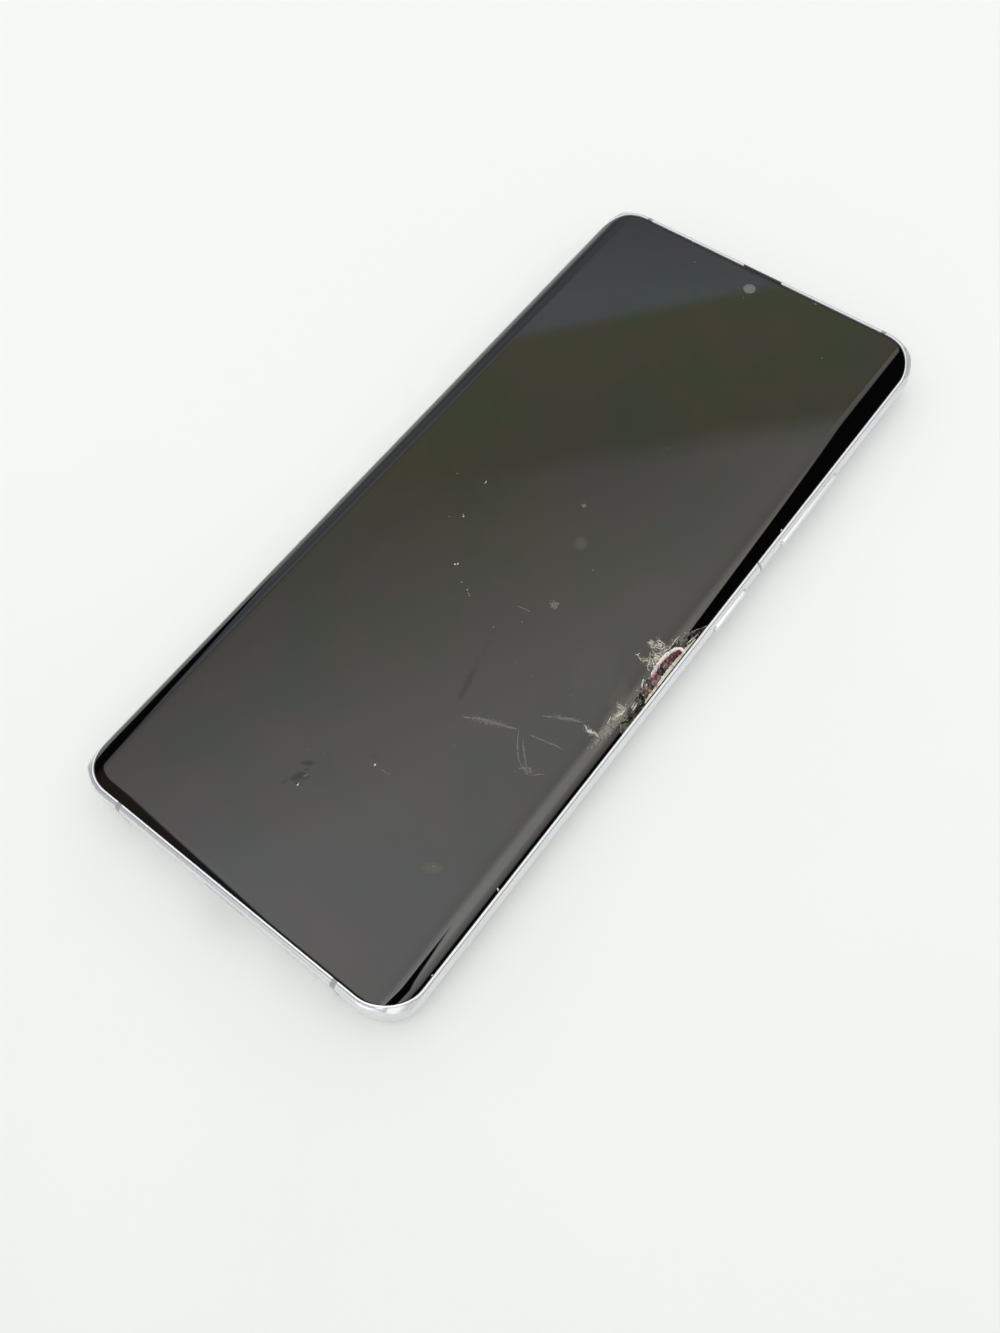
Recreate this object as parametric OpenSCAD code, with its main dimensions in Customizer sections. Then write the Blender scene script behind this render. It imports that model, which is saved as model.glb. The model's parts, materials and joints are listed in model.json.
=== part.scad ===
// Curved-edge smartphone with a broken display: glass front and back bonded to a one-piece
// aluminium frame, with the boards, battery, cameras and sound parts behind the frame's plate.
// +X is the phone's right side seen from the front, +Y its top end, +Z out of the display.
// The origin is under the middle of the body, level with the face of the camera window rim.

/* [Body] */
// Length of the frame, top end to bottom end
body_l = 162.5; // [158:0.5:200]
// Width of the frame at the widest line of its side rails
body_w = 73.6; // [71:0.1:90]
// Thickness from rear glass to front glass
body_t = 7.8; // [7.4:0.1:9.6]
// Corner radius of the frame seen from the front
corner_r = 8.3; // [6:0.1:11]
// Rounding of the frame where its ends meet the glass
edge_r = 1.2; // [0.6:0.1:1.6]
// How far the side rails stand outside the glass
side_inset = 0.9; // [0.6:0.05:1.2]
// How far the end rails stand outside the glass
end_inset = 1.2; // [0.8:0.05:1.6]
// Half height of the bare side rail
rail_half = 1.8; // [1.4:0.1:2.2]
// Radius of the glass where it rolls over at the long sides
curve_r = 6; // [5:0.1:7]
// Width of the rolled part of the glass, to the body's side
curve_reach = 5.3; // [4.6:0.1:5.8]

/* [Glass and display] */
// Thickness of the front and rear glass
glass_t = 0.6; // [0.5:0.05:0.8]
// Thickness of the display panel
panel_t = 0.5; // [0.4:0.05:0.6]
// Thickness of the foam and copper sheet behind the panel
backing_t = 0.2; // [0.1:0.05:0.3]
// Bare margin of the glass outside the panel, which the adhesive needs
panel_margin = 1.4; // [1.1:0.1:2]
// Thickness of the display adhesive
bond_t = 0.25; // [0.15:0.05:0.3]
// Thickness of the rear glass adhesive
rear_bond_t = 0.15; // [0.1:0.05:0.25]
// Distance of the front camera's hole from the top end
eye_from_top = 5.9; // [5.5:0.1:8]
// Radius of the panel's hole for the front camera
eye_r = 2; // [1.8:0.1:2.5]
// Side of the fingerprint reader under the display
reader_w = 9; // [7:0.5:12]
// Distance of the fingerprint reader's middle from the bottom end
reader_from_end = 36; // [34:0.5:42]

/* [Break] */
// Where the middle of the broken-out edge lies, from the body's middle
break_y = -6.4; // [-20:0.1:5]
// Length of the broken-out edge
break_l = 15; // [8:0.1:20]
// How far the break reaches in from the glass edge
break_depth = 2.3; // [1:0.1:3.5]

/* [Frame] */
// Thickness of the side walls
wall_side = 3.6; // [3.3:0.1:4.4]
// Thickness of the end walls
wall_end = 3; // [2.6:0.1:4]
// Corner radius of the pocket for the electronics
pocket_r = 5; // [4:0.1:6]
// Thickness of the plate between display and electronics
plate_t = 0.8; // [0.6:0.05:1]
// Room between the display's back and the plate
panel_room = 0.1; // [0.05:0.05:0.2]
// Width of each plastic antenna break
band_w = 1; // [0.6:0.1:1.4]
// Distance of the bottom rail's antenna breaks from the middle
band_x = 24.5; // [23.5:0.5:26]
// Distance of the top rail's antenna breaks from the body's side, clear of the tray
band_from_side = 9.1; // [8.8:0.1:9.2]
// Distance of the right-hand antenna break from the top end; the left one mirrors it
band_from_top = 58.65; // [56.2:0.05:60.8]
// Depth of the antenna breaks
band_depth = 1.5; // [1:0.1:2]
// General clearance between neighbouring pieces
clear = 0.3; // [0.2:0.05:0.4]
// Radius of the standoffs that take the screws
post_r = 1.6; // [1.4:0.1:1.9]

/* [Keys] */
// Height of the side keys
key_h = 1.6; // [1.3:0.1:1.7]
// How far the keys stand out of the rail
key_proud = 0.4; // [0.3:0.05:0.6]
// Clearance round each key in its slot
key_clear = 0.1; // [0.08:0.01:0.15]
// Distance of the power key's middle from the top end
power_from_top = 68.85; // [67:0.05:71]
// Length of the power key
power_l = 10; // [8:0.1:12]
// Distance of the volume key's middle from the top end
volume_from_top = 42.45; // [39:0.05:44]
// Length of the volume key
volume_l = 19; // [16:0.1:23]
// Gap between each key's back and its switch
switch_gap = 0.4; // [0.35:0.05:0.5]

/* [SIM tray] */
// Width of the tray's outer face
tray_w = 13; // [11:0.5:14]
// Height of the tray's outer face
tray_h = 2; // [1.6:0.1:2.2]
// Length of the tray
tray_l = 18; // [16:0.5:20]
// Distance of the tray's middle from the left side wall
tray_from_wall = 13; // [12:0.5:14.5]

/* [Ports and sound] */
// Width of the charging port's mouth
port_w = 8.34; // [8.3:0.02:8.4]
// Height of the charging port's mouth
port_h = 2.56; // [2.54:0.02:2.6]
// Depth of the charging port
port_depth = 7.3; // [6.5:0.1:8]
// Radius of the loudspeaker holes
grille_r = 0.65; // [0.4:0.05:0.8]
// Pitch of the loudspeaker holes
grille_pitch = 2.2; // [1.8:0.1:2.4]
// Radius of the microphone holes
mic_r = 0.5; // [0.3:0.05:0.6]
// Width of the loudspeaker box
speaker_w = 18.6; // [16:0.2:20]
// Length of the loudspeaker box
speaker_l = 31; // [26:0.5:33]

/* [Cameras] */
// Height of the camera rim above the rear glass
bump_h = 1.2; // [0.8:0.1:1.8]
// Width of the camera rim
bump_w = 24; // [23:0.5:26]
// Length of the camera rim
bump_l = 34; // [33:0.5:38]
// Distance of the camera rim from the top end
bump_from_top = 4.5; // [4.2:0.1:6]
// Side of the main camera's housing
main_cam_w = 11; // [10:0.1:11.4]
// Side of the two smaller cameras' housings
small_cam_w = 9; // [8:0.1:9.4]
// Radius of the main camera's moving lens barrel
barrel_r = 3.4; // [3:0.1:4]
// Running clearance of the lens barrel in its housing
barrel_clear = 0.06; // [0.04:0.01:0.1]

/* [Boards and battery] */
// Thickness of the circuit boards
board_t = 0.8; // [0.6:0.1:1]
// Length of the main board
board_l = 38; // [37:0.5:42]
// Length of the lower board
lower_l = 18; // [17.5:0.5:22]
// Width of the lower board
lower_w = 26; // [25:0.5:27]
// Gap at each end and side of the battery
battery_gap = 1.8; // [1.2:0.1:2.5]
// Thickness of the battery
battery_t = 4.2; // [3.6:0.1:4.3]
// Outer radius of the charging coil
coil_r = 22; // [16:0.5:26]
// Radius of the screws' thread
screw_r = 0.58; // [0.5:0.01:0.62]
// Radius of the screws' heads
head_r = 1.25; // [1.1:0.05:1.4]

/* [Hidden] */
$fn = 64;

far = 40;
bend_n = 96;

// Levels through the thickness
rear = bump_h;
front = bump_h + body_t;
mid_z = (rear + front) / 2;
panel_in = glass_t + panel_t;
backing_in = panel_in + backing_t;
plate_in = backing_in + panel_room;
ledge_in = glass_t + bond_t;
rear_ledge_in = glass_t + rear_bond_t;
plate_top = front - plate_in;
plate_low = plate_top - plate_t;
rear_inner = rear + glass_t;
room_z = rear + rear_ledge_in;

// Plan sizes
flat_x = body_w / 2 - curve_reach;
top_y = body_l / 2;
top_band_x = body_w / 2 - band_from_side;
band_y = top_y - band_from_top;
glass_clear = 0.05;
glass_w = body_w - 2 * side_inset - 2 * glass_clear;
glass_l = body_l - 2 * end_inset - 2 * glass_clear;
glass_r = corner_r - side_inset;
panel_w = glass_w - 2 * panel_margin;
panel_l = glass_l - 2 * panel_margin;
panel_r = glass_r - panel_margin + 0.2;
pocket_x = body_w / 2 - wall_side;
pocket_y = body_l / 2 - wall_end;

// Side keys, from their outer face in to the strip that backs their switches
key_out_x = body_w / 2 + key_proud;
key_neck_x = pocket_x - 0.3;
key_back_x = key_neck_x - 0.5;
switch_x = key_back_x - switch_gap;
switch_t = 0.45;
flex_t = 0.12;
holder_t = 0.35;
flex_x = switch_x - switch_t;
holder_x = flex_x - flex_t - holder_t;
power_y = top_y - power_from_top;
volume_y = top_y - volume_from_top;
key_zone_y = volume_y + volume_l / 2 + 1;

// Boards
board_post_h = 1;
board_high = plate_low - board_post_h;
board_low = board_high - board_t;
board_y0 = pocket_y - board_l;
bracket_low = room_z + 0.45;
bracket_t = 0.8;
head_t = 0.4;
port_out_w = port_w + 0.6;
port_out_h = port_h + 0.6;
port_wall = 0.3;
lower_high = mid_z - port_out_h / 2;
lower_low = lower_high - board_t;
lower_y1 = lower_l - pocket_y;

// Camera group
bump_x = flat_x - bump_w / 2 - 1;
bump_y = top_y - bump_from_top - bump_l / 2;
rim_w = 1.3;
rim_lip = 0.4;
rim_r = 6;
window_t = 0.8;
window_sink = 0.1;
main_cam = [bump_x - 5.6, bump_y + 8.5];
wide_cam = [bump_x - 5.6, bump_y - 7.6];
zoom_cam = [bump_x + 5.8, bump_y + 0.6];
flash_at = [bump_x + 6.2, bump_y + 11.5];
cam_side = bump_x - bump_w / 2 - clear;
cam_low_y = bump_y - bump_l / 2 + 1.2;

// Battery space, between the board, the lower parts, the cable and the key parts
cable_r = 0.4;
battery_x0 = -pocket_x + 2 * cable_r + 0.8;
battery_x1 = holder_x - battery_gap;
battery_y0 = speaker_l - pocket_y + battery_gap;
battery_y1 = board_y0 - battery_gap;
battery_high = plate_low - 0.15;
battery_low = battery_high - battery_t;
battery_mx = (battery_x0 + battery_x1) / 2;
battery_my = (battery_y0 + battery_y1) / 2;
sheet_t = 0.15;
coil_t = 0.2;

// Screws: on the main board, on the lower board, and at the loudspeaker's ears
left_x = -pocket_x + 2.4;
upper_screws = [
    [left_x, board_y0 + 2.2],
    [left_x, pocket_y - 5.5],
    [cam_side - 2.2, board_y0 + 2.2],
    [cam_side - 2.2, pocket_y - 8.5],
    [holder_x - 2.4, board_y0 + 2.2]
];
lower_screws = [
    [-lower_w / 2 + 2, lower_y1 - 2],
    [lower_w / 2 - 2, lower_y1 - 2],
    [-lower_w / 2 + 2, 3 - pocket_y]
];
speaker_x1 = pocket_x - 0.4;
speaker_x0 = speaker_x1 - speaker_w;
speaker_y0 = clear + 0.2 - pocket_y;
speaker_y1 = speaker_l - pocket_y;
ear = 4;
ear_t = 1;
speaker_low = room_z + 0.5;
speaker_high = plate_low - 0.2;
speaker_screws = [
    [speaker_x0 + ear / 2, speaker_y1 - ear / 2],
    [speaker_x1 - ear / 2, speaker_y1 - ear / 2]
];
hole_r = screw_r + 0.02;
pass_r = screw_r + 0.2;

// SIM tray
tray_x = -pocket_x + tray_from_wall;
reader_wall = 0.2;
tray_t = 1;
tray_z = board_low - 0.4 - tray_t / 2;
tray_neck_w = tray_w - 1.2;
tray_face_t = 1.4;
seal_t = 0.6;

// Sound, port and sensors
grille_n = 5;
grille_x = lower_w / 2 + 5.4;
mic_x = -7.2;
top_mic_x = -6.2;
eye_y = top_y - eye_from_top;
motor_l = 14;
motor_w = 8;
motor_h = 3.4;
motor_wall = 0.3;
motor_x = -pocket_x + 2.6 + motor_l / 2;
motor_y = lower_y1 - 4;
flex_tab_w = 14;
flex_tab_y = lower_y1 - 4.6;
slot_l = 9;

// ---- shapes shared by several pieces ----

// Rounded rectangle about the origin
module plan(w, l, r) {
    square([w - 2 * r, l], center = true);
    square([w, l - 2 * r], center = true);
    for (x = [-1, 1], y = [-1, 1]) {
        translate([x * (w / 2 - r), y * (l / 2 - r)]) circle(r);
    }
}

// Upright plate with a rounded outline, between two heights
module plate(w, l, r, z0, z1) {
    translate([0, 0, z0]) linear_extrude(z1 - z0) plan(w, l, r);
}

// Box between two corners
module block(x0, x1, y0, y1, z0, z1) {
    translate([x0, y0, z0]) cube([x1 - x0, y1 - y0, z1 - z0]);
}

// Upright cylinder at a place, between two heights
module pin(at, r, z0, z1) {
    translate([at[0], at[1], z0]) cylinder(h = z1 - z0, r = r);
}

// Section under the front surface sunk by d, cut off at height lo
module front_section(d, lo) {
    intersection() {
        union() {
            translate([-flat_x, lo]) square([2 * flat_x, front - d - lo]);
            for (s = [-1, 1]) {
                translate([s * flat_x, front - curve_r]) circle(curve_r - d, $fn = bend_n);
            }
        }
        translate([-far - flat_x, lo]) square([2 * (far + flat_x), 2 * far]);
    }
}

// Section swept along the body
module along_body() {
    rotate([90, 0, 0]) linear_extrude(body_l + 2, center = true) children();
}

// Region between the two edges of a rolled sheet that is x_edge wide, ground square to its face
module edge_wedge(x_edge) {
    zc = front - curve_r;
    run = far * (x_edge - flat_x) / curve_r;
    rise = sqrt(far * far - run * run);
    polygon([[-flat_x, zc], [flat_x, zc], [flat_x + run, zc + rise], [-flat_x - run, zc + rise]]);
}

// The layer between two depths under the front surface, out to x_edge each way
module front_layer(d0, d1, x_edge) {
    along_body() intersection() {
        difference() {
            front_section(d0, front - curve_r);
            front_section(d1, front - curve_r - 1);
        }
        edge_wedge(x_edge);
    }
}

// The same under the rear surface
module rear_layer(d0, d1, x_edge) {
    translate([0, 0, 2 * mid_z]) mirror([0, 0, 1]) front_layer(d0, d1, x_edge);
}

// Outline of the end rail's edge, swept round the frame by soft_slab
module edge_profile(r) {
    translate([0, rear]) square([r - edge_r, body_t]);
    translate([0, rear + edge_r]) square([r, body_t - 2 * edge_r]);
    for (z = [rear + edge_r, front - edge_r]) translate([r - edge_r, z]) circle(edge_r);
}

// Slab with the frame's outline and softly rounded edges
module soft_slab(w, l, r) {
    for (i = [0:3]) {
        sx = [1, -1, -1, 1][i];
        sy = [1, 1, -1, -1][i];
        translate([sx * (w / 2 - r), sy * (l / 2 - r), 0]) rotate([0, 0, 90 * i])
            rotate_extrude(angle = 90) edge_profile(r);
    }
    for (turn = [0, 180]) rotate([0, 0, turn]) {
        translate([w / 2 - r, l / 2 - r, 0]) rotate([90, 0, 0])
            linear_extrude(l - 2 * r) edge_profile(r);
        translate([r - w / 2, l / 2 - r, 0]) rotate([90, 0, 90])
            linear_extrude(w - 2 * r) edge_profile(r);
    }
    block(r - w / 2, w / 2 - r, r - l / 2, l / 2 - r, rear, front);
}

// Section of the whole body: rolled glass edges and bulging side rails
module body_section() {
    glass_x = body_w / 2 - side_inset;
    bulge_r = (rail_half * rail_half + side_inset * side_inset) / (2 * side_inset);
    for (half = [0, 1]) translate([0, 2 * mid_z * half]) mirror([0, half]) intersection() {
        front_section(0, mid_z);
        translate([-glass_x, mid_z]) square([2 * glass_x, far]);
    }
    for (s = [-1, 1]) translate([s * (body_w / 2 - bulge_r), mid_z]) circle(bulge_r, $fn = bend_n);
}

// The whole outer form of frame and glass together
module body_form() {
    intersection() {
        along_body() body_section();
        soft_slab(body_w + 0.3, body_l, corner_r);
    }
}

// Room of the front glass and its adhesive
module front_seat() {
    intersection() {
        front_layer(-1, ledge_in, glass_w / 2 + glass_clear);
        plate(glass_w + 2 * glass_clear, glass_l + 2 * glass_clear, glass_r, 0, far);
    }
}

// Room of the rear glass and its adhesive
module rear_seat() {
    intersection() {
        rear_layer(-1, rear_ledge_in, glass_w / 2 + glass_clear);
        plate(glass_w + 2 * glass_clear, glass_l + 2 * glass_clear, glass_r, 0, mid_z);
    }
}

// Boxes of the antenna breaks: two in each end rail and one in each side rail
module band_boxes() {
    for (side = [-1, 1], end = [-1, 1]) {
        x = side * (end > 0 ? top_band_x : band_x);
        y0 = end > 0 ? top_y - band_depth : -top_y - 1;
        block(x - band_w / 2, x + band_w / 2, y0, y0 + band_depth + 1, 0, front + 1);
    }
    for (s = [-1, 1]) {
        x0 = s > 0 ? body_w / 2 - band_depth : -body_w / 2 - 1;
        y = s * band_y;
        block(x0, x0 + band_depth + 1, y - band_w / 4, y + band_w / 4, 0, front + 1);
    }
}

// Bar with round ends, lying along X through a wall, for the keys and their slots
module side_bar(y, len, high, x0, x1) {
    translate([x0, y, mid_z]) rotate([90, 0, 90]) linear_extrude(x1 - x0) {
        square([len - high, high], center = true);
        for (s = [-1, 1]) translate([s * (len - high) / 2, 0]) circle(high / 2);
    }
}

// Bar with round ends, lying along Y through an end wall, for the port and the tray
module end_bar(x, z, wide, high, y0, y1) {
    translate([x, y1, z]) rotate([90, 0, 0]) linear_extrude(y1 - y0) {
        square([wide - high, high], center = true);
        for (s = [-1, 1]) translate([s * (wide - high) / 2, 0]) circle(high / 2);
    }
}

// Jagged outline of what broke out of the glass at the right-hand edge
module break_outline(grow) {
    x0 = body_w / 2 - side_inset;
    half = break_l / 2 + grow;
    deep = break_depth + grow;
    translate([x0, break_y]) polygon([
        [2, half + 1.2], [0, half], [-0.22 * deep, 0.86 * half], [-0.45 * deep, 0.8 * half],
        [-0.93 * deep, 0.5 * half], [-deep, 0.18 * half], [-0.95 * deep, -0.3 * half],
        [-0.75 * deep, -0.62 * half], [-0.5 * deep, -0.72 * half], [-0.3 * deep, -0.93 * half],
        [0, -half], [2, -half - 0.8]
    ]);
}

module break_cut(grow) {
    linear_extrude(front + 1) break_outline(grow);
}

// Thin box open on one side: a pressed can or case
module can(x0, x1, y0, y1, z0, z1, wall) {
    difference() {
        block(x0, x1, y0, y1, z0, z1);
        block(x0 + wall, x1 - wall, y0 + wall, y1 - wall, z0 + wall, z1 + 1);
    }
}

// ---- frame ----

module mid_frame() {
    color("silver") {
        difference() {
            body_form();
            frame_front_cuts();
            frame_rear_cuts();
            frame_openings();
            band_boxes();
        }
        frame_posts();
    }
}

// Seats of the cover glass and the panel, and the plate's openings
module frame_front_cuts() {
    front_seat();
    intersection() {
        front_layer(0, plate_in, glass_w / 2);
        plate(panel_w + 2 * clear, panel_l + 2 * clear, panel_r, 0, far);
    }
    // room for the chip and cable at the panel's lower end
    block(-flat_x + 4, flat_x - 4, flex_tab_y - 10, flex_tab_y + 2, plate_top - 0.35, front);
    block(-flex_tab_w / 2 - clear, flex_tab_w / 2 + clear, flex_tab_y, flex_tab_y + 1.2,
        plate_low - 1, front);
    side = reader_w / 2 + clear;
    reader_y = reader_from_end - top_y;
    block(-side, side, reader_y - side, reader_y + side, plate_low - 1, front);
    pin([0, eye_y], eye_r + 0.1, plate_low - 1, front);
}

// Pocket for the electronics and the seat of the rear glass
module frame_rear_cuts() {
    plate(2 * pocket_x, 2 * pocket_y, pocket_r, 0, plate_low);
    rear_seat();
}

// Slots and holes through the walls
module frame_openings() {
    for (key = [[power_y, power_l], [volume_y, volume_l]]) {
        side_bar(key[0], key[1] + 2 * key_clear, key_h + 2 * key_clear, pocket_x - 1,
            body_w / 2 + 1);
    }
    // tray: a wide mouth for its face and a narrower throat behind it
    end_bar(tray_x, tray_z, tray_w + 0.2, tray_h + 0.2, top_y - tray_face_t - 0.1, top_y + 1);
    end_bar(tray_x, tray_z, tray_neck_w + 0.6, tray_t + 0.6, pocket_y - 1, top_y);
    end_bar(tray_x + tray_w / 2 + 1.8, tray_z, 0.9, 0.89, pocket_y - 1, top_y + 1);
    end_bar(0, mid_z, port_out_w + 0.2, port_out_h + 0.2, -top_y - 1, 1 - pocket_y);
    for (i = [0:grille_n - 1]) {
        translate([grille_x + i * grille_pitch - grille_pitch * (grille_n - 1) / 2, 1 - pocket_y, mid_z])
            rotate([90, 0, 0]) cylinder(h = wall_end + 2, r = grille_r);
    }
    translate([mic_x, 1 - pocket_y, mid_z]) rotate([90, 0, 0]) cylinder(h = wall_end + 2, r = mic_r);
    translate([top_mic_x, top_y + 1, board_low - 0.7]) rotate([90, 0, 0])
        cylinder(h = wall_end + 2, r = mic_r);
    // the earpiece's sound slit in the top rail, and its way in through the plate
    block(-slot_l / 2, slot_l / 2, top_y - end_inset - 0.15, top_y - end_inset + 0.35,
        plate_top, front + 1);
    block(-slot_l / 2 - 6, -slot_l / 2 + 1, pocket_y - 4, top_y - end_inset + 0.35,
        plate_low - 1, plate_top + 0.35);
}

// Standoffs with threaded holes
module frame_posts() {
    for (at = upper_screws) post(at, board_high);
    for (at = lower_screws) post(at, lower_high);
    for (at = speaker_screws) post(at, speaker_low + ear_t);
}

module post(at, z0) {
    difference() {
        pin(at, post_r, z0, plate_low + 0.1);
        pin(at, hole_r, z0 - 1, plate_low - 0.15);
    }
}

module antenna_bands() {
    color("gray") difference() {
        intersection() {
            body_form();
            band_boxes();
        }
        front_seat();
        rear_seat();
    }
}

// ---- display ----

module cover_glass() {
    color("black", 0.6) difference() {
        intersection() {
            front_layer(0, glass_t, glass_w / 2);
            plate(glass_w, glass_l, glass_r - glass_clear, 0, far);
        }
        break_cut(0);
    }
}

module display_panel() {
    color("dimgray") difference() {
        intersection() {
            front_layer(glass_t, panel_in, glass_w / 2);
            plate(panel_w, panel_l, panel_r, 0, far);
        }
        pin([0, eye_y], eye_r, 0, far);
        break_cut(-0.35);
    }
}

module display_backing() {
    color("peru") difference() {
        plate(2 * flat_x - 1, panel_l - 1, panel_r, front - backing_in, front - panel_in);
        pin([0, eye_y], eye_r + 0.4, 0, far);
    }
}

module display_adhesive() {
    color("wheat") difference() {
        intersection() {
            front_layer(glass_t, ledge_in, glass_w / 2);
            plate(glass_w, glass_l, glass_r, 0, far);
        }
        plate(panel_w + 2 * clear, panel_l + 2 * clear, panel_r, 0, far);
    }
}

// Chip and cable folded behind the panel's lower end, down to the lower board
module display_flex() {
    color("goldenrod") {
        block(-flat_x + 5, flat_x - 5, flex_tab_y - 9, flex_tab_y + 0.5, front - backing_in - 0.2,
            front - backing_in);
        block(-flex_tab_w / 2, flex_tab_w / 2, flex_tab_y + 0.4, flex_tab_y + 0.55,
            lower_high + 0.9, front - backing_in);
        block(-flex_tab_w / 2, flex_tab_w / 2, flex_tab_y - 1.5, flex_tab_y + 0.55,
            lower_high, lower_high + 0.9);
    }
}

module fingerprint_reader() {
    side = reader_w / 2;
    y = reader_from_end - top_y;
    color("darkslategray")
        block(-side, side, y - side, y + side, plate_low, front - backing_in);
}

module front_camera() {
    color("dimgray") {
        block(-2.8, 2.8, eye_y - 2.8, eye_y + 2.6, plate_low - 2.4, plate_low);
        pin([0, eye_y], eye_r - 0.2, plate_low - 0.1, front - glass_t - 0.05);
    }
}

module earpiece() {
    x1 = -slot_l / 2 + 0.9;
    color("black") block(x1 - 6.8, x1, pocket_y - 4, pocket_y - 0.2, plate_low - 2.2, plate_low);
}

module earpiece_mesh() {
    color("black") block(-slot_l / 2, slot_l / 2, top_y - end_inset, top_y - end_inset + 0.35,
        front - 0.9, front - 0.6);
}

module light_sensor() {
    color("black") block(5.2, 8, eye_y - 1, eye_y + 1, plate_low - 0.9, plate_low);
}

module heat_spreader() {
    color("gray")
        block(left_x + 2.4, cam_side - 4.6, board_y0 + 5, pocket_y - 12, plate_low - 0.2, plate_low);
}

// ---- rear glass and cameras ----

module rear_glass() {
    color("white") difference() {
        intersection() {
            rear_layer(0, glass_t, glass_w / 2);
            plate(glass_w, glass_l, glass_r - glass_clear, 0, mid_z);
        }
        translate([bump_x, bump_y, 0])
            plate(bump_w - 2 * rim_w + 0.2, bump_l - 2 * rim_w + 0.2, rim_r - rim_w + 0.1, 0, mid_z);
    }
}

module rear_adhesive() {
    color("black") difference() {
        intersection() {
            rear_layer(glass_t, rear_ledge_in, glass_w / 2);
            plate(glass_w, glass_l, glass_r, 0, mid_z);
        }
        plate(2 * pocket_x + 0.6, 2 * pocket_y + 0.6, pocket_r, 0, mid_z);
    }
}

// Metal rim: a ring on the glass, a collar through it and a lip that carries the window
module camera_rim() {
    color("silver") translate([bump_x, bump_y, 0]) difference() {
        union() {
            plate(bump_w, bump_l, rim_r, 0, rear);
            plate(bump_w - 2 * rim_w, bump_l - 2 * rim_w, rim_r - rim_w, rear - 0.1, rear_inner + 0.3);
        }
        plate(bump_w - 2 * rim_w, bump_l - 2 * rim_w, rim_r - rim_w, -1, window_sink + window_t);
        plate(bump_w - 2 * rim_w - 2 * rim_lip, bump_l - 2 * rim_w - 2 * rim_lip,
            rim_r - rim_w - rim_lip, -1, mid_z);
    }
}

module camera_window() {
    color("black") translate([bump_x, bump_y, 0]) plate(bump_w - 2 * rim_w - 0.1,
        bump_l - 2 * rim_w - 0.1, rim_r - rim_w - 0.05, window_sink, window_sink + window_t);
}

// Square camera housing on the plate, with a round nose towards the window
module camera_housing(at, w, nose_r) {
    half = w / 2;
    block(at[0] - half, at[0] + half, at[1] - half, at[1] + half, rear_inner + 0.6, plate_low);
    pin(at, nose_r, window_sink + window_t + 0.1, rear_inner + 0.7);
}

module main_camera() {
    color("dimgray") difference() {
        camera_housing(main_cam, main_cam_w, barrel_r + 0.7);
        pin(main_cam, barrel_r + barrel_clear, 0, plate_low - 1.6);
    }
}

// The barrel that the focus motor moves towards the window
module main_camera_lens() {
    low = window_sink + window_t + 0.5;
    color("black") difference() {
        pin(main_cam, barrel_r, low, plate_low - 1.9);
        pin(main_cam, barrel_r - 0.9, low - 1, low + 0.4);
    }
}

module wide_camera() {
    color("dimgray") difference() {
        camera_housing(wide_cam, small_cam_w, 3.2);
        pin(wide_cam, 2.1, 0, window_sink + window_t + 0.5);
    }
}

module zoom_camera() {
    color("dimgray") difference() {
        camera_housing(zoom_cam, small_cam_w, 2.8);
        pin(zoom_cam, 1.8, 0, window_sink + window_t + 0.5);
    }
}

module flash_lens() {
    color("ivory") pin(flash_at, 1.7, window_sink + window_t, rear_inner + 0.8);
}

// ---- boards ----

// L-shaped outline: a wide part beside the cameras and an arm below them
module board_outline() {
    difference() {
        intersection() {
            plan(2 * (pocket_x - clear), 2 * (pocket_y - clear), pocket_r - clear);
            union() {
                translate([-far - body_w / 2, board_y0]) square([far + body_w / 2 + cam_side, body_l]);
                translate([-far - body_w / 2, board_y0]) square([2 * far + body_w, cam_low_y - board_y0]);
            }
        }
        translate([-3.1, eye_y - 3.1]) square([6.2, 20]);
        translate([cam_side - 1, pocket_y - 6]) square([20, 20]);
        translate([-slot_l / 2 - 6.3, pocket_y - 4.4]) square([7.6, 20]);
        translate([4.9, eye_y - 1.3]) square([20, 20]);
        translate([holder_x - clear, -far]) square([20, key_zone_y + far]);
    }
}

module main_board() {
    color("darkgreen") difference() {
        translate([0, 0, board_low]) linear_extrude(board_t) board_outline();
        for (at = upper_screws) pin(at, pass_r, 0, far);
    }
}

chip_x1 = cam_side - 5.4;

module processor() {
    color("black") block(chip_x1 - 14, chip_x1, board_y0 + 10, board_y0 + 24, board_high, plate_low - 0.2);
}

module memory_chips() {
    color("black") {
        block(chip_x1 - 13, chip_x1 - 1, board_y0 + 6, board_y0 + 16, board_low - 1, board_low);
        block(chip_x1 - 11, chip_x1 - 3, board_y0 + 18, board_y0 + 25, board_low - 0.8, board_low);
        block(left_x + 3, left_x + 11, board_y0 + 7, board_y0 + 14, board_low - 0.8, board_low);
    }
}

// Pressed cans over the chips, open towards the board
module board_shields() {
    z0 = board_low - 1.4;
    color("lightgray") {
        can(chip_x1 - 14, chip_x1 + 0.6, board_y0 + 4.6, board_y0 + 27, z0, board_low, 0.15);
        can(left_x + 2, left_x + 13, board_y0 + 5, board_y0 + 16, z0, board_low, 0.15);
    }
}

// Steel shell of the SIM reader, open towards the top end
module sim_reader() {
    half = tray_neck_w / 2 + 0.5;
    y0 = top_y - tray_l - 1;
    z0 = tray_z - tray_t / 2 - 0.35;
    color("lightgray") difference() {
        block(tray_x - half, tray_x + half, y0, pocket_y - 0.5, z0, board_low);
        block(tray_x - half + reader_wall, tray_x + half - reader_wall, y0 + reader_wall, top_y,
            z0 + reader_wall, board_low + 1);
    }
}

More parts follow.
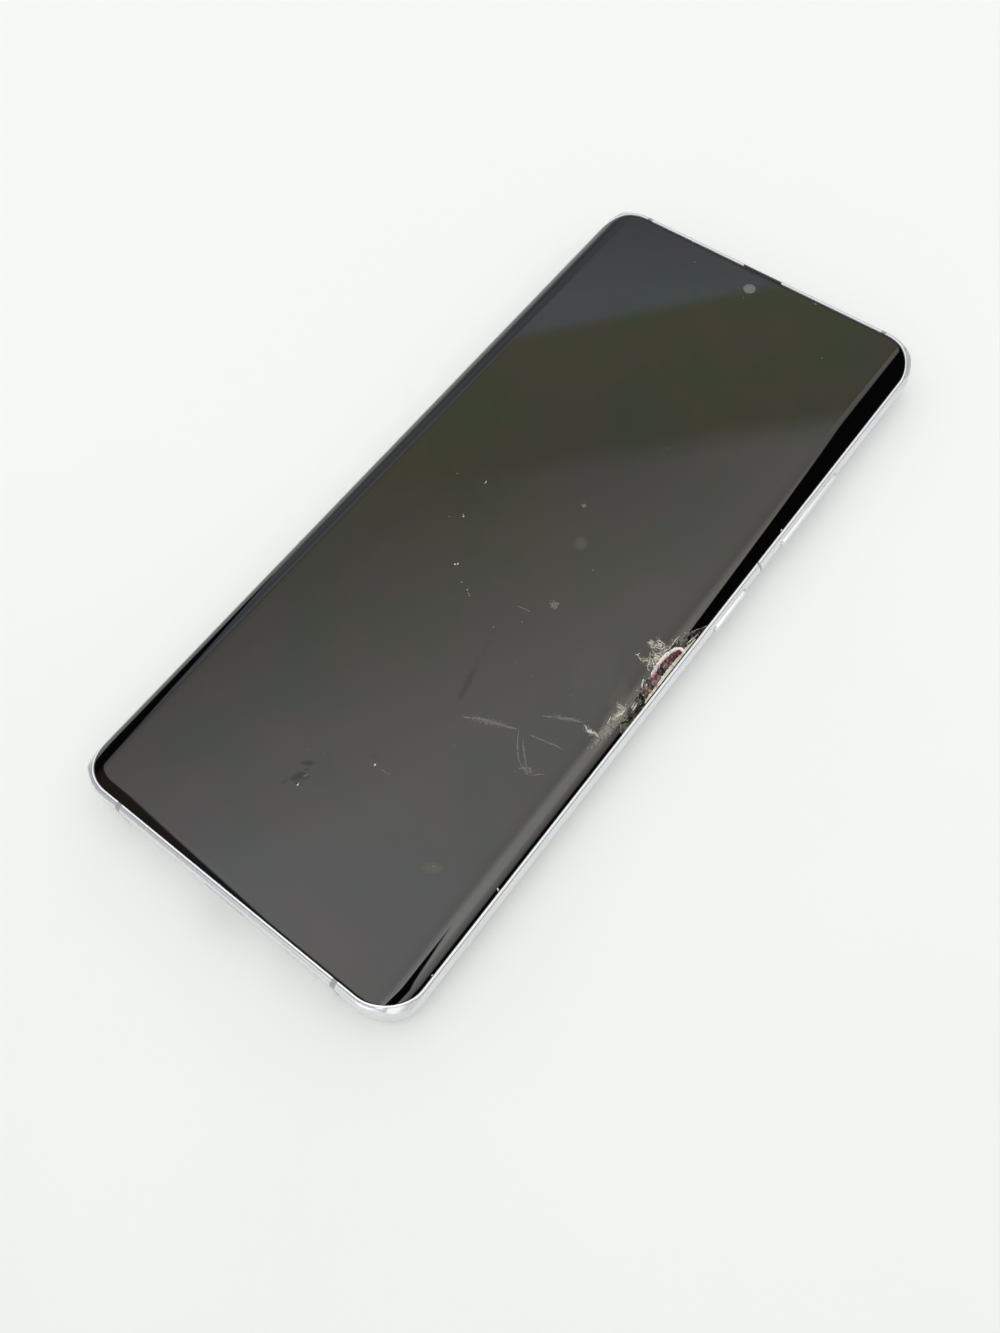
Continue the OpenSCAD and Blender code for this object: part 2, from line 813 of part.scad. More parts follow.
module sim_tray() {
    half = tray_neck_w / 2;
    seat = 4.6;
    color("silver") difference() {
        union() {
            end_bar(tray_x, tray_z, tray_w, tray_h, top_y - tray_face_t, top_y);
            block(tray_x - half, tray_x + half, top_y - tray_l, top_y - tray_face_t + 0.1,
                tray_z - tray_t / 2, tray_z + tray_t / 2);
        }
        // seat of the card
        block(tray_x - seat, tray_x + seat, top_y - tray_l + 1.5, top_y - tray_l + 14,
            tray_z - tray_t / 2 - 1, tray_z + 0.25);
        // groove of the seal
        difference() {
            block(tray_x - far, tray_x + far, top_y - tray_face_t - 0.2 - seal_t,
                top_y - tray_face_t - 0.2, 0, far);
            block(tray_x - half + 0.2, tray_x + half - 0.2, 0, far + body_l,
                tray_z - tray_t / 2 + 0.2, tray_z + tray_t / 2 - 0.2);
        }
    }
}

module sim_tray_seal() {
    half = tray_neck_w / 2;
    y1 = top_y - tray_face_t - 0.2;
    color("darkslategray") difference() {
        end_bar(tray_x, tray_z, tray_neck_w + 0.4, tray_t + 0.4, y1 - seal_t, y1);
        block(tray_x - half + 0.2, tray_x + half - 0.2, y1 - 1, y1 + 1, tray_z - tray_t / 2 + 0.2,
            tray_z + tray_t / 2 - 0.2);
    }
}

// Plastic cover over the main board, with a boss down to the board at each screw
module upper_bracket() {
    z1 = bracket_low + bracket_t;
    color("black") difference() {
        union() {
            translate([0, 0, bracket_low]) linear_extrude(bracket_t) board_outline();
            for (at = upper_screws) pin(at, post_r, bracket_low, board_low);
        }
        for (at = upper_screws) pin(at, pass_r, 0, far);
        // open over the SIM reader and the cans
        block(tray_x - tray_neck_w / 2 - 0.8, tray_x + tray_neck_w / 2 + 0.8,
            top_y - tray_l - 1.3, top_y, z1 - 0.3, z1 + 1);
    }
}

module microphones() {
    color("gold") {
        block(top_mic_x - 1.4, top_mic_x + 1.4, pocket_y - 7.5, pocket_y - 4.7, board_low - 1, board_low);
        block(mic_x - 1.4, mic_x + 1.4, 0.4 - pocket_y, 3.4 - pocket_y, lower_high, lower_high + 1.2);
    }
}

// ---- battery, coil and cables ----

module battery() {
    r = 1.5;
    color("dimgray") translate([battery_mx, battery_my, 0])
        plate(battery_x1 - battery_x0, battery_y1 - battery_y0, r, battery_low, battery_high);
}

module battery_adhesive() {
    color("white") for (s = [-1, 1]) {
        x = battery_mx + s * (battery_x1 - battery_x0) / 4;
        block(x - 8, x + 8, battery_y0 + 4, battery_y1 - 4, battery_high, plate_low);
    }
}

module battery_flex() {
    x = cam_side - 8;
    color("goldenrod") {
        block(x - 6, x, battery_y1, board_y0 + 1.4, board_low - 0.15, board_low);
        block(x - 5, x - 1, board_y0 + 0.2, board_y0 + 1.4, board_low - 0.9, board_low - 0.15);
    }
}

module charging_sheet() {
    side = coil_r + 1;
    color("darkgray") block(battery_mx - side, battery_mx + side, battery_my - side,
        battery_my + side, battery_low - sheet_t, battery_low);
}

module charging_coil() {
    z1 = battery_low - sheet_t;
    color("peru") difference() {
        pin([battery_mx, battery_my], coil_r, z1 - coil_t, z1);
        pin([battery_mx, battery_my], coil_r / 2, 0, far);
    }
}

// Ribbon over the battery's left side, stepping in to the boards at both ends
module main_flex() {
    x0 = battery_x0 + 2.8;
    t = 0.12;
    z = battery_low;
    drop = battery_y1 + 0.6;
    end_y = lower_y1 - 3.6;
    color("goldenrod") translate([x0 + 4, 0, 0]) rotate([0, -90, 0]) linear_extrude(4) {
        translate([z - t, end_y]) square([t, drop - end_y]);
        translate([z - t, drop]) square([board_low - z + t, t]);
        translate([board_low - t, drop]) square([t, board_y0 + 2 - drop]);
    }
    color("goldenrod") block(x0, -lower_w / 2 + 3.8, end_y - 3, end_y, z - t, z);
    color("goldenrod") block(-lower_w / 2 + 0.6, -lower_w / 2 + 3.8, end_y - 3, end_y, z - t, lower_low);
}

module antenna_cable() {
    x = -pocket_x + cable_r + 0.3;
    z = plate_low - cable_r - 0.3;
    color("white") translate([x, board_y0 - 0.6, z]) rotate([90, 0, 0])
        cylinder(h = board_y0 - lower_y1 - 1, r = cable_r, $fn = 24);
}

// ---- lower end ----

module lower_board() {
    color("darkgreen") difference() {
        block(-lower_w / 2, lower_w / 2, 0.3 - pocket_y, lower_y1, lower_low, lower_high);
        for (at = lower_screws) pin(at, pass_r, 0, far);
    }
}

// Steel shell of the port: a flat tube closed at the back
module charging_port() {
    y0 = 0.25 - top_y;
    color("lightgray") difference() {
        end_bar(0, mid_z, port_out_w, port_out_h, y0, y0 + port_depth + port_wall);
        end_bar(0, mid_z, port_w, port_h, y0 - 1, y0 + port_depth);
    }
}

module port_tongue() {
    y1 = 0.25 - top_y + port_depth;
    color("black") {
        block(-3.35, 3.35, y1 - 5.3, y1, mid_z - 0.35, mid_z + 0.35);
        block(-3.6, 3.6, y1 - 0.8, y1, mid_z - 0.9, mid_z + 0.9);
    }
}

// Rubber ring round the port's shell, inside the wall
module port_seal() {
    y0 = 0.02 - pocket_y;
    color("red") difference() {
        end_bar(0, mid_z, port_out_w + 1.2, port_out_h + 1.2, y0, y0 + 0.8);
        end_bar(0, mid_z, port_out_w + 0.02, port_out_h + 0.02, y0 - 1, y0 + 2);
        block(-far, far, y0 - 1, y0 + 2, 0, lower_high + 0.02);
        block(-far, far, y0 - 1, y0 + 2, plate_low - 0.02, far);
    }
}

// Closed sound box with two screw ears and a duct to the grille
module speaker_box() {
    wall = 0.7;
    x0 = speaker_x0;
    x1 = speaker_x1;
    ear_y = speaker_y1 - ear;
    color("black") difference() {
        union() {
            intersection() {
                block(x0, x1, speaker_y0, ear_y, speaker_low, speaker_high);
                plate(2 * (pocket_x - clear), 2 * (pocket_y - clear), pocket_r - clear, 0, far);
            }
            block(x0 + ear + 0.2, x1 - ear - 0.2, ear_y - 1, speaker_y1, speaker_low, speaker_high);
            for (at = speaker_screws) {
                block(at[0] - ear / 2, at[0] + ear / 2, ear_y - 0.1, speaker_y1, speaker_low,
                    speaker_low + ear_t);
            }
        }
        intersection() {
            block(x0 + wall, x1 - wall, speaker_y0 + wall, ear_y - wall, speaker_low + wall,
                speaker_high - wall);
            plate(2 * (pocket_x - clear - wall), 2 * (pocket_y - clear - wall),
                pocket_r - clear - wall, 0, far);
        }
        block(x0 + wall, x1 - 5, speaker_y0 - 1, speaker_y0 + 2, mid_z - 0.9, mid_z + 0.9);
        for (at = speaker_screws) pin(at, pass_r, 0, far);
    }
}

// Magnet, basket and coil as the one sealed driver it is bought as
module speaker_driver() {
    x = (speaker_x0 + speaker_x1) / 2;
    y = (speaker_y0 + speaker_y1) / 2 - 2;
    color("dimgray") {
        block(x - 6.5, x + 6.5, y - 8, y + 8, speaker_high - 2.1, speaker_high - 0.7);
        block(x - 4.5, x + 4.5, y - 6, y + 6, speaker_high - 3.1, speaker_high - 2);
    }
}

module speaker_mesh() {
    half = grille_pitch * grille_n / 2;
    color("black") block(grille_x - half, grille_x + half, -pocket_y, 0.2 - pocket_y, mid_z - 1.1, mid_z + 1.1);
}

// Vibration motor: a sealed case with a weight that shakes from side to side
module motor_case() {
    x = motor_l / 2;
    y = motor_w / 2;
    color("silver") translate([motor_x, motor_y, 0]) difference() {
        block(-x, x, -y, y, plate_low - motor_h, plate_low);
        block(motor_wall - x, x - motor_wall, motor_wall - y, y - motor_wall,
            plate_low - motor_h + motor_wall, plate_low - motor_wall);
    }
}

module motor_mass() {
    x = motor_l / 2 - motor_wall - 0.9;
    y = motor_w / 2 - motor_wall - 0.3;
    color("dimgray") translate([motor_x, motor_y, 0])
        block(-x, x, -y, y, plate_low - motor_h + motor_wall + 0.3, plate_low - motor_wall - 0.3);
}

// ---- side keys ----

// Outer bar, neck through the wall and a wider back that keeps it in
module side_key(y, len) {
    side_bar(y, len, key_h, key_neck_x - 0.1, key_out_x);
    block(key_back_x, key_neck_x, y - len / 2 + 0.8, y + len / 2 - 0.8, mid_z - 1.5, mid_z + 1.5);
}

module power_key() {
    color("silver") side_key(power_y, power_l);
}

module volume_key() {
    color("silver") side_key(volume_y, volume_l);
}

// One switch under the power key and one under each end of the volume key
switch_ys = [power_y, volume_y - volume_l / 2 + 4, volume_y + volume_l / 2 - 4];

module key_switches() {
    color("gold") for (y = switch_ys) {
        block(flex_x, switch_x, y - 1.8, y + 1.8, mid_z - 1.3, mid_z + 1.3);
    }
}

module key_flex() {
    color("goldenrod") block(flex_x - flex_t, flex_x, power_y - 6, volume_y + 9, mid_z - 1.5, mid_z + 1.5);
}

// Steel strip that backs the switches, with a foot on the plate
module key_bracket() {
    color("lightgray") block(holder_x, holder_x + holder_t, power_y - 7, volume_y + 7, mid_z - 1.8, plate_low);
}

// ---- fasteners ----

module screws() {
    color("gray") {
        for (at = upper_screws) screw(at, bracket_low, plate_low - 0.3);
        for (at = lower_screws) screw(at, lower_low, lower_high + 2);
        for (at = speaker_screws) screw(at, speaker_low, speaker_low + ear_t + 2);
    }
}

// Pan-head screw with a cross recess
module screw(at, z0, z1) {
    difference() {
        union() {
            pin(at, head_r, z0 - head_t, z0);
            pin(at, screw_r, z0 - 0.1, z1);
        }
        translate([at[0], at[1], z0 - head_t]) for (turn = [0, 90]) rotate([0, 0, turn])
            cube([1.4, 0.25, 0.4], center = true);
    }
}

mid_frame();
antenna_bands();
cover_glass();
display_panel();
display_backing();
display_adhesive();
display_flex();
fingerprint_reader();
front_camera();
earpiece();
earpiece_mesh();
light_sensor();
heat_spreader();
rear_glass();
rear_adhesive();
camera_rim();
camera_window();
main_camera();
main_camera_lens();
wide_camera();
zoom_camera();
flash_lens();
main_board();
processor();
memory_chips();
board_shields();
sim_reader();
sim_tray();
sim_tray_seal();
upper_bracket();
microphones();
battery();
battery_adhesive();
battery_flex();
charging_sheet();
charging_coil();
main_flex();
antenna_cable();
lower_board();
charging_port();
port_tongue();
port_seal();
speaker_box();
speaker_driver();
speaker_mesh();
motor_case();
motor_mass();
power_key();
volume_key();
key_switches();
key_flex();
key_bracket();
screws();
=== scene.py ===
import json
import math
import random
from functools import partial

import bmesh
import bpy
from mathutils import Matrix, Vector, noise

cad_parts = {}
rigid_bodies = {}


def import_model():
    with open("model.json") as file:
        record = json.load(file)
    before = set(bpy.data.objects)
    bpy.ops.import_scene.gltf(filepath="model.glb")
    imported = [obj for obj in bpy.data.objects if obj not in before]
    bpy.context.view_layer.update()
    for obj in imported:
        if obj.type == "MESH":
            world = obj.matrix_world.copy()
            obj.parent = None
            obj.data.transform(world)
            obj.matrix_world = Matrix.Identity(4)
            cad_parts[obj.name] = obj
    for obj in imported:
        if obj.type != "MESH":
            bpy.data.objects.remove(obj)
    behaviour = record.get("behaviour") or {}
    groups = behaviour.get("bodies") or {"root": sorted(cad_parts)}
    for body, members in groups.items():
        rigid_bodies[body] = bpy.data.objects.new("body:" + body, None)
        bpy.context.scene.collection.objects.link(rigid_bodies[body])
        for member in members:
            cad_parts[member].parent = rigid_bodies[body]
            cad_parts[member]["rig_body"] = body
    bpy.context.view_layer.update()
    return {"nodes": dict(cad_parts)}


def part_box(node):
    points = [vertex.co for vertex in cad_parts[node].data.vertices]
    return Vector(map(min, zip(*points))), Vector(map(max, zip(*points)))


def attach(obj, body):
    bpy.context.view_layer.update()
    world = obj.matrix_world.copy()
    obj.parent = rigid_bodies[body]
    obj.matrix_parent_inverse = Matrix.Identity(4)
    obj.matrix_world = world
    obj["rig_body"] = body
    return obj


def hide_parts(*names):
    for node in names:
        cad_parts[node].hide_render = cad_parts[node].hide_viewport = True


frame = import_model()
nodes = frame["nodes"]
mm = 0.001
# settings that many nodes share
smooth = {"interpolation_type": "SMOOTHSTEP"}
inColour = {"data_type": "RGBA"}
print("frame:", len(nodes), "nodes")


# sRGB hex to the linear colour that sockets take
def linear(code):
    parts = [int(code[i:i + 2], 16) / 255 for i in (1, 3, 5)]
    return [p / 12.92 if p <= 0.04045 else ((p + 0.055) / 1.055) ** 2.4 for p in parts] + [1.0]


# Adds a node with its settings and links, and gives back one of its outputs. The kind may carry the
# node's operation, as in "Math/ADD"; values fill sockets in order or by name, and hex codes are colours
def addNode(tree, kind, values=(), out=0, **settings):
    kind, slash, operation = kind.partition("/")
    node = tree.nodes.new(kind if "Node" in kind else "ShaderNode" + kind)
    if slash:
        node.operation = operation
    for key, value in settings.items():
        setattr(node, key, value)
    for key, value in values.items() if isinstance(values, dict) else enumerate(values):
        if isinstance(value, bpy.types.NodeSocket):
            tree.links.new(value, node.inputs[key])
        else:
            node.inputs[key].default_value = linear(value) if str(value).startswith("#") else value
    return node.outputs[out] if len(node.outputs) else node


# New material with a Principled shader; gives it, its node adder, the shader and object coordinates
def startMaterial(name, **sockets):
    material = bpy.data.materials.new(name)
    material.use_nodes = True
    material.node_tree.nodes.clear()
    add = partial(addNode, material.node_tree)
    shader = add("BsdfPrincipled", {key.replace("_", " "): value for key, value in sockets.items()}).node
    add("OutputMaterial", [shader.outputs[0]])
    return material, add, shader, add("TexCoord", out="Object")


# Links outputs to the shader's sockets
def feed(shader, **outputs):
    for key, output in outputs.items():
        shader.id_data.links.new(output, shader.inputs[key.replace("_", " ")])


# Noise whose grain is a real size in millimetres
def grainNoise(add, coords, grain, detail=2.0, stretch=(1, 1, 1), rough=0.5):
    place = add("Mapping", {0: coords, 3: [s / (grain * mm) for s in stretch]})
    return add("TexNoise", {"Vector": place, "Scale": 1.0, "Detail": detail, "Roughness": rough})


# Goes from one colour to another as a value runs from low to high
def blendTones(add, value, low, high, first, second, most=1):
    share = add("MapRange", [value, low, high, 0, most])
    return add("Mix", {0: share, 6: first, 7: second}, 2, **inColour)


def newObject(name, mesh, material=None):
    thing = bpy.data.objects.new(name, mesh)
    bpy.context.scene.collection.objects.link(thing)
    if material:
        mesh.materials.append(material)
    return thing


def meshFrom(name, points, faces):
    mesh = bpy.data.meshes.new(name)
    mesh.from_pydata([[c * mm for c in p] for p in points], [], faces)
    return mesh


# Skins rings of points: capped at both ends, or closed round into a hoop
def loft(name, rings, hoop=False):
    count, last = len(rings[0]), len(rings) - 1
    faces = [] if hoop else [list(range(count))[::-1], [last * count + i for i in range(count)]]
    for r in range(last + hoop):
        here, there = r * count, (r + 1) % len(rings) * count
        faces += [[here + i, here + (i + 1) % count, there + (i + 1) % count, there + i]
                  for i in range(count)]
    return meshFrom(name, [point for ring in rings for point in ring], faces)


# Turns an object with live modifiers into a plain mesh object of the same name
def settle(thing):
    graph = bpy.context.evaluated_depsgraph_get()
    mesh = bpy.data.meshes.new_from_object(thing.evaluated_get(graph), depsgraph=graph)
    thing.modifiers.clear()
    old = thing.data
    thing.data = mesh
    if isinstance(old, bpy.types.Mesh) and not old.users:
        bpy.data.meshes.remove(old)
    return thing


# Faces outward, doubles merged, smooth except at edges sharper than the angle
def cleanMesh(mesh, angle=None, merge=0.0005 * mm, outward=True):
    work = bmesh.new()
    work.from_mesh(mesh)
    bmesh.ops.remove_doubles(work, verts=work.verts, dist=merge)
    if outward:
        bmesh.ops.recalc_face_normals(work, faces=work.faces)
    if angle is not None:
        for face in work.faces:
            face.smooth = True
        for edge in work.edges:
            edge.smooth = len(edge.link_faces) == 2 and edge.calc_face_angle(4) < math.radians(angle)
    work.to_mesh(mesh)
    work.free()


# A merged, smooth-shaded copy of a CAD node, which stands for it
def smoothCopy(node, name, slot, material, angle=32, bevel=0.0):
    mesh = nodes[node].data.copy()
    mesh.materials.clear()
    cleanMesh(mesh, angle, outward=False)
    piece = newObject(name, mesh, material)
    if bevel:
        work = bmesh.new()
        work.from_mesh(mesh)
        bmesh.ops.dissolve_limit(work, angle_limit=math.radians(0.5), verts=work.verts, edges=work.edges)
        work.to_mesh(mesh)
        work.free()
        bevelEdges(piece, bevel, 3, 35, True)
    finishPiece(piece, nodes[node]["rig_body"], slot, node)
    return piece


# Rounds every edge sharper than the angle
def bevelEdges(piece, width, segments, angle, harden=False):
    cut = piece.modifiers.new("bevel", "BEVEL")
    cut.width, cut.segments, cut.harden_normals = width * mm, segments, harden
    cut.limit_method, cut.angle_limit = "ANGLE", math.radians(angle)
    settle(piece)


def finishPiece(piece, body, slot, *stoodFor):
    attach(piece, body)
    if stoodFor:
        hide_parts(*stoodFor)


# Empty Geometry Nodes tree with named inputs; gives the tree, its node adder and its input sockets
def startTree(name, **inputs):
    tree = bpy.data.node_groups.new(name, "GeometryNodeTree")
    kinds = {"Seed": "NodeSocketInt", "Finish": "NodeSocketMaterial"}
    tree.interface.new_socket("Geometry", in_out="INPUT", socket_type="NodeSocketGeometry")
    for label, value in inputs.items():
        socket = tree.interface.new_socket(label, in_out="INPUT",
                                           socket_type=kinds.get(label, "NodeSocketFloat"))
        if value is not None:
            socket.default_value = value
    tree.interface.new_socket("Geometry", in_out="OUTPUT", socket_type="NodeSocketGeometry")
    return tree, partial(addNode, tree), tree.nodes.new("NodeGroupInput").outputs


# Last nodes of every tree: real geometry, one finish
def endTree(add, geometry, finish):
    real = add("GeometryNodeRealizeInstances", [geometry])
    add("NodeGroupOutput", [add("GeometryNodeSetMaterial", {"Geometry": real, "Material": finish})])


# Runs a tree on a mesh and keeps the result as a plain mesh
def runTree(name, mesh, tree, **values):
    thing = newObject(name, mesh)
    modifier = thing.modifiers.new(tree.name, "NODES")
    modifier.node_group = tree
    for item in tree.interface.items_tree:
        if item.in_out == "INPUT" and item.name in values:
            modifier[item.identifier] = values[item.name]
    return settle(thing)


camera = {
    "place": (80.99 * mm, -88.31 * mm, 195.83 * mm),
    "right": (0.78602, 0.61379, -0.07374),
    "up": (-0.52280, 0.72364, 0.45059),
    "focal": 1206.94,   # in frame widths of 1000 and heights of 1333
    "frame": (1000, 1333),
    "sensor": 36,
}
cameraData = bpy.data.cameras.new("camera")
cameraData.sensor_width = camera["sensor"]
cameraData.lens = camera["sensor"] * camera["focal"] / max(camera["frame"])
cameraData.clip_start, cameraData.clip_end = 0.005, 20
cameraObject = newObject("camera", cameraData)
rightWay, upWay = Vector(camera["right"]).normalized(), Vector(camera["up"]).normalized()
turn = Matrix((rightWay, upWay, rightWay.cross(upWay))).transposed().to_4x4()
cameraObject.matrix_world = Matrix.Translation(camera["place"]) @ turn
bpy.context.scene.camera = cameraObject
bpy.context.scene.view_settings.view_transform = "Standard"
print("camera ready")

# The room: pale floor, ceiling light and dark walls. Edges are lines a*u + b*v = c, with a softness
room = {
    "floorSize": 3.0,
    # painted shade: the floor's darker tone nearest the viewer
    "floorNearShade": "#E9EBE7",
    "floorFar": "#F7F9F6",
    "rimFoot": (42.75, 0.0),      # y and z where the camera rim's lower edge stands
    "endFoot": (-80.0, 1.17),     # y and z under the lower end of the body
    "dayLight": 1.0,              # what lights the object, a plain even dome
    "panelLight": 2.04,           # brightest part of the ceiling in a reflection
    "nearTint": [1.0, 0.96, 0.78, 1],
    "beamTint": [0.78, 0.80, 0.54, 1],
    "farTint": [0.90, 0.97, 1.05, 1],
    "dark": [0.02, 0.02, 0.02, 1],
    "beamEdge": (-1.0, 1.0, 1.038, 0.03),
    "farEdge": (-1.135, 1.0, 1.362, 0.012),
    "windowTop": (0.18, 1.0, 0.762, 0.015),
    "windowFoot": (0.46, -1.0, 0.0, 0.04),
    "postEdge": (1.0, 12.1, 2.24, 0.1),
    "rightEdge": (1.0, 0.0, 2.45, 0.12),
    "lowerEdge": (-2.2, -1.0, 1.21, 0.06),
}


# Painted table top: matt and pale, faintly cloudy, with painted shade making it a little darker towards the
# viewer
def buildFloor():
    material, add, shader, coords = startMaterial("paintedTableTop", Roughness=0.9, IOR=1.45,
                                                  Specular_IOR_Level=0.1)
    x, y = add("SeparateXYZ", [coords]).node.outputs[:2]
    across = add("Math/SUBTRACT", [y, add("Math/MULTIPLY", [x, 0.6])])
    cloud = grainNoise(add, coords, 60, 3)
    across = add("Math/ADD", [across, add("MapRange", [cloud, 0.3, 0.7, -0.02, 0.02])])
    feed(shader, Base_Color=blendTones(add, across, -0.34, 0.02, room["floorNearShade"], room["floorFar"]))
    (nearY, nearZ), (farY, farZ) = room["endFoot"], room["rimFoot"]
    slope = (farZ - nearZ) / (farY - nearY)
    half = room["floorSize"] / 2 / mm
    corners = [(x, y, nearZ + (y - nearY) * slope)
               for x, y in ((-half, -half), (half, -half), (half, half), (-half, half))]
    floor = newObject("floor", meshFrom("floor", corners, [(0, 1, 2, 3)]), material)


# Directions are read as u = x/z and v = y/z, so a straight edge in the room is a straight line in them
def buildRoom():
    world = bpy.data.worlds.new("studioRoom")
    bpy.context.scene.world = world
    world.use_nodes = True
    world.node_tree.nodes.clear()
    add = partial(addNode, world.node_tree)
    x, y, z = add("SeparateXYZ", [add("TexCoord", out="Generated")]).node.outputs
    height = add("Math/MAXIMUM", [z, 0.03])
    u, v = add("Math/DIVIDE", [x, height]), add("Math/DIVIDE", [y, height])

    # 1 on the near side of an edge, 0 beyond it
    def nearSide(a, b, c, soft):
        total = add("Math/ADD", [add("Math/MULTIPLY", [u, a]), add("Math/MULTIPLY", [v, b])])
        return add("MapRange", [total, c - soft, c + soft, 1, 0], **smooth)

    # a colour, made brighter or darker
    def scaled(colour, light):
        grey = add("CombineColor", [light, light, light])
        return add("Mix", {0: 1.0, 6: colour, 7: grey}, 2, blend_type="MULTIPLY", **inColour)

    ceiling = add("MapRange", [v, 0.05, 0.62, room["panelLight"], 1.42])
    # brighter window wall to the right, fading into the dark past it
    window = add("Math/SUBTRACT", [add("MapRange", [u, 0.0, 0.5, 1.0, 1.75], **smooth),
                                   add("MapRange", [u, 0.85, 1.2, 0, 0.55], **smooth)])
    window = add("Math/SUBTRACT", [window, add("MapRange", [u, 1.2, 2.8, 0, 1.0])])
    ceiling = add("Math/MULTIPLY", [ceiling, window])
    leftward = add("Math/SUBTRACT", [u, add("Math/MULTIPLY", [v, 0.25])])
    ceiling = add("Math/MULTIPLY", [ceiling, add("MapRange", [leftward, -0.66, -0.42, 0.57, 1.08])])
    warmth = add("Math/MULTIPLY", [add("MapRange", [v, 0.08, 0.5, 0, 1]),
                                   add("MapRange", [u, -0.5, -0.3, 1, 0.45])])
    near = add("Mix", {0: warmth, 6: "#FFFFFF", 7: room["nearTint"]}, 2, **inColour)
    steep = add("Math/SUBTRACT", [v, add("Math/MULTIPLY", [u, 0.6])])
    faint = add("Math/MULTIPLY", [add("MapRange", [steep, 1.12, 1.26, 1.1, 0.7]),
                                  add("MapRange", [v, 1.15, 1.6, 1, 0.6])])
    # the ceiling, then a beam across it, then the wall beyond
    lit = add("Mix", {0: nearSide(*room["beamEdge"]), 6: room["beamTint"], 7: scaled(near, ceiling)}, 2,
              **inColour)
    lit = add("Mix", {0: nearSide(*room["farEdge"]), 6: scaled(room["farTint"], faint), 7: lit}, 2,
              **inColour)

    # dark walls: to the right, past the lower end, and low on the left
    beam = add("Math/SUBTRACT", [1.0, nearSide(*room["windowTop"])])
    beam = add("Math/MULTIPLY", [beam, nearSide(*room["windowFoot"])])
    beam = add("Math/MULTIPLY", [beam, add("MapRange", [u, 0.04, 0.12, 0, 1])])
    post = add("Math/MULTIPLY", [nearSide(*room["postEdge"]), add("MapRange", [u, 0.44, 0.49, 0, 1])])
    post = add("Math/MULTIPLY", [post, add("MapRange", [u, 1.15, 1.25, 1, 0])])
    right = add("Math/SUBTRACT", [nearSide(*room["rightEdge"]), add("Math/MAXIMUM", [beam, post])])
    right = add("Math/MAXIMUM", [right, 0.0])
    lower = add("Math/MINIMUM", [nearSide(*room["lowerEdge"]), add("MapRange", [v, -0.36, -0.3, 0, 1])])
    lower = add("Math/MAXIMUM", [lower, add("MapRange", [v, 0.0, 0.04, 0, 1])])
    lower = add("Math/MAXIMUM", [lower, add("MapRange", [v, -1.3, -1.0, 1, 0])])
    slant = add("Math/MULTIPLY", [add("Math/MAXIMUM", [v, 0.02]), 3.8])
    left = add("MapRange", [add("Math/ADD", [u, slant]), -0.7, -0.5, 0, 1], **smooth)
    sides = add("Math/MULTIPLY", [add("Math/MULTIPLY", [right, lower]), left])
    lit = add("Mix", {0: sides, 6: room["dark"], 7: lit}, 2, **inColour)
    horizon = add("Math/MULTIPLY", [add("MapRange", [z, 0.02, 0.16, 1, 0], **smooth), left])
    lit = add("Mix", {0: horizon, 6: lit, 7: "#E4E6E6"}, 2, **inColour)

    # mirrors see the room, all else is lit by an even dome and stands before a plain pale ground
    path = add("LightPath").node.outputs
    seen = add("Background", ["#F1F3F1", 1.0])
    kind = add("Background", ["#FFFFFF", room["dayLight"]])
    for ray, light in (("Is Glossy Ray", add("Background", [lit, 1.0])), ("Is Camera Ray", seen),
                       ("Is Transmission Ray", seen)):
        kind = add("MixShader", [path[ray], kind, light])
    add("OutputWorld", [kind])


buildFloor()
buildRoom()
print("room ready")

glassHigh = [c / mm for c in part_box("cover_glass")[1]]
rearLow = [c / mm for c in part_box("rear_glass")[0]]
glass = {
    "halfWidth": glassHigh[0],
    "halfLength": glassHigh[1],
    "sink": 0.05,          # keeps flakes that lie on the glass inside the body's height
    "thickness": 0.6,
    "cornerRadius": 7.35,
    "flatHalf": 31.5,      # where the flat glass starts to roll over
    "rollRadius": 6.0,
    "endRoll": (2.0, 0.9),  # width of the slope at the lower and the upper end
    "endDrop": (0.22, 0.16),
    "edgeBreak": 0.1,      # the tiny round along the whole rim, and its drop
    "edgeDrop": 0.05,
    "cornerSteps": 20,
    "slopeStep": 0.004,    # how far apart heights are taken for a slope
    # rings of points, as distances in from the outline
    "ringGaps": [0, .02, .05, .1, .16, .24, .34, .46, .6, .75, .9, 1.1, 1.35, 1.65, 2.0, 2.4, 2.8, 3.2, 3.6,
                 4.0, 4.35, 4.7],
}
# The edge of the sound glass round the break, from the top down
breakLine = [(37.9, 6.6), (35.7, 6.3), (35.0, 4.6), (34.5, 3.3), (34.02, 2.56), (33.74, 0.81),
             (33.42, -1.19), (33.3, -2.14), (33.16, -3.24), (33.13, -4.71), (33.17, -5.99),
             (33.33, -7.27), (33.62, -8.42), (33.35, -9.44), (33.65, -10.87), (33.9, -11.88),
             (34.1, -13.19), (34.1, -14.61), (34.2, -15.65), (34.4, -16.88), (34.7, -18.17),
             (35.0, -19.0), (35.5, -19.4), (37.9, -19.8)]
breakCut = {
    "edge": {"step": 0.35, "wander": 0.07, "seed": 4},
    "heights": (5, 12),    # from under the glass to above it
    "rows": (-21, 8),      # y between which its walls lie
}


# How far a point lies inside the glass outline, and the outline's direction there
def outlineGap(x, y):
    r = glass["cornerRadius"]
    qx, qy = abs(x) - glass["halfWidth"] + r, abs(y) - glass["halfLength"] + r
    if qx > 0 and qy > 0:
        far = math.hypot(qx, qy)
        return r - far, qy / max(far, 1e-9)
    return (r - qx, 0.0) if qx > qy else (r - qy, 1.0)


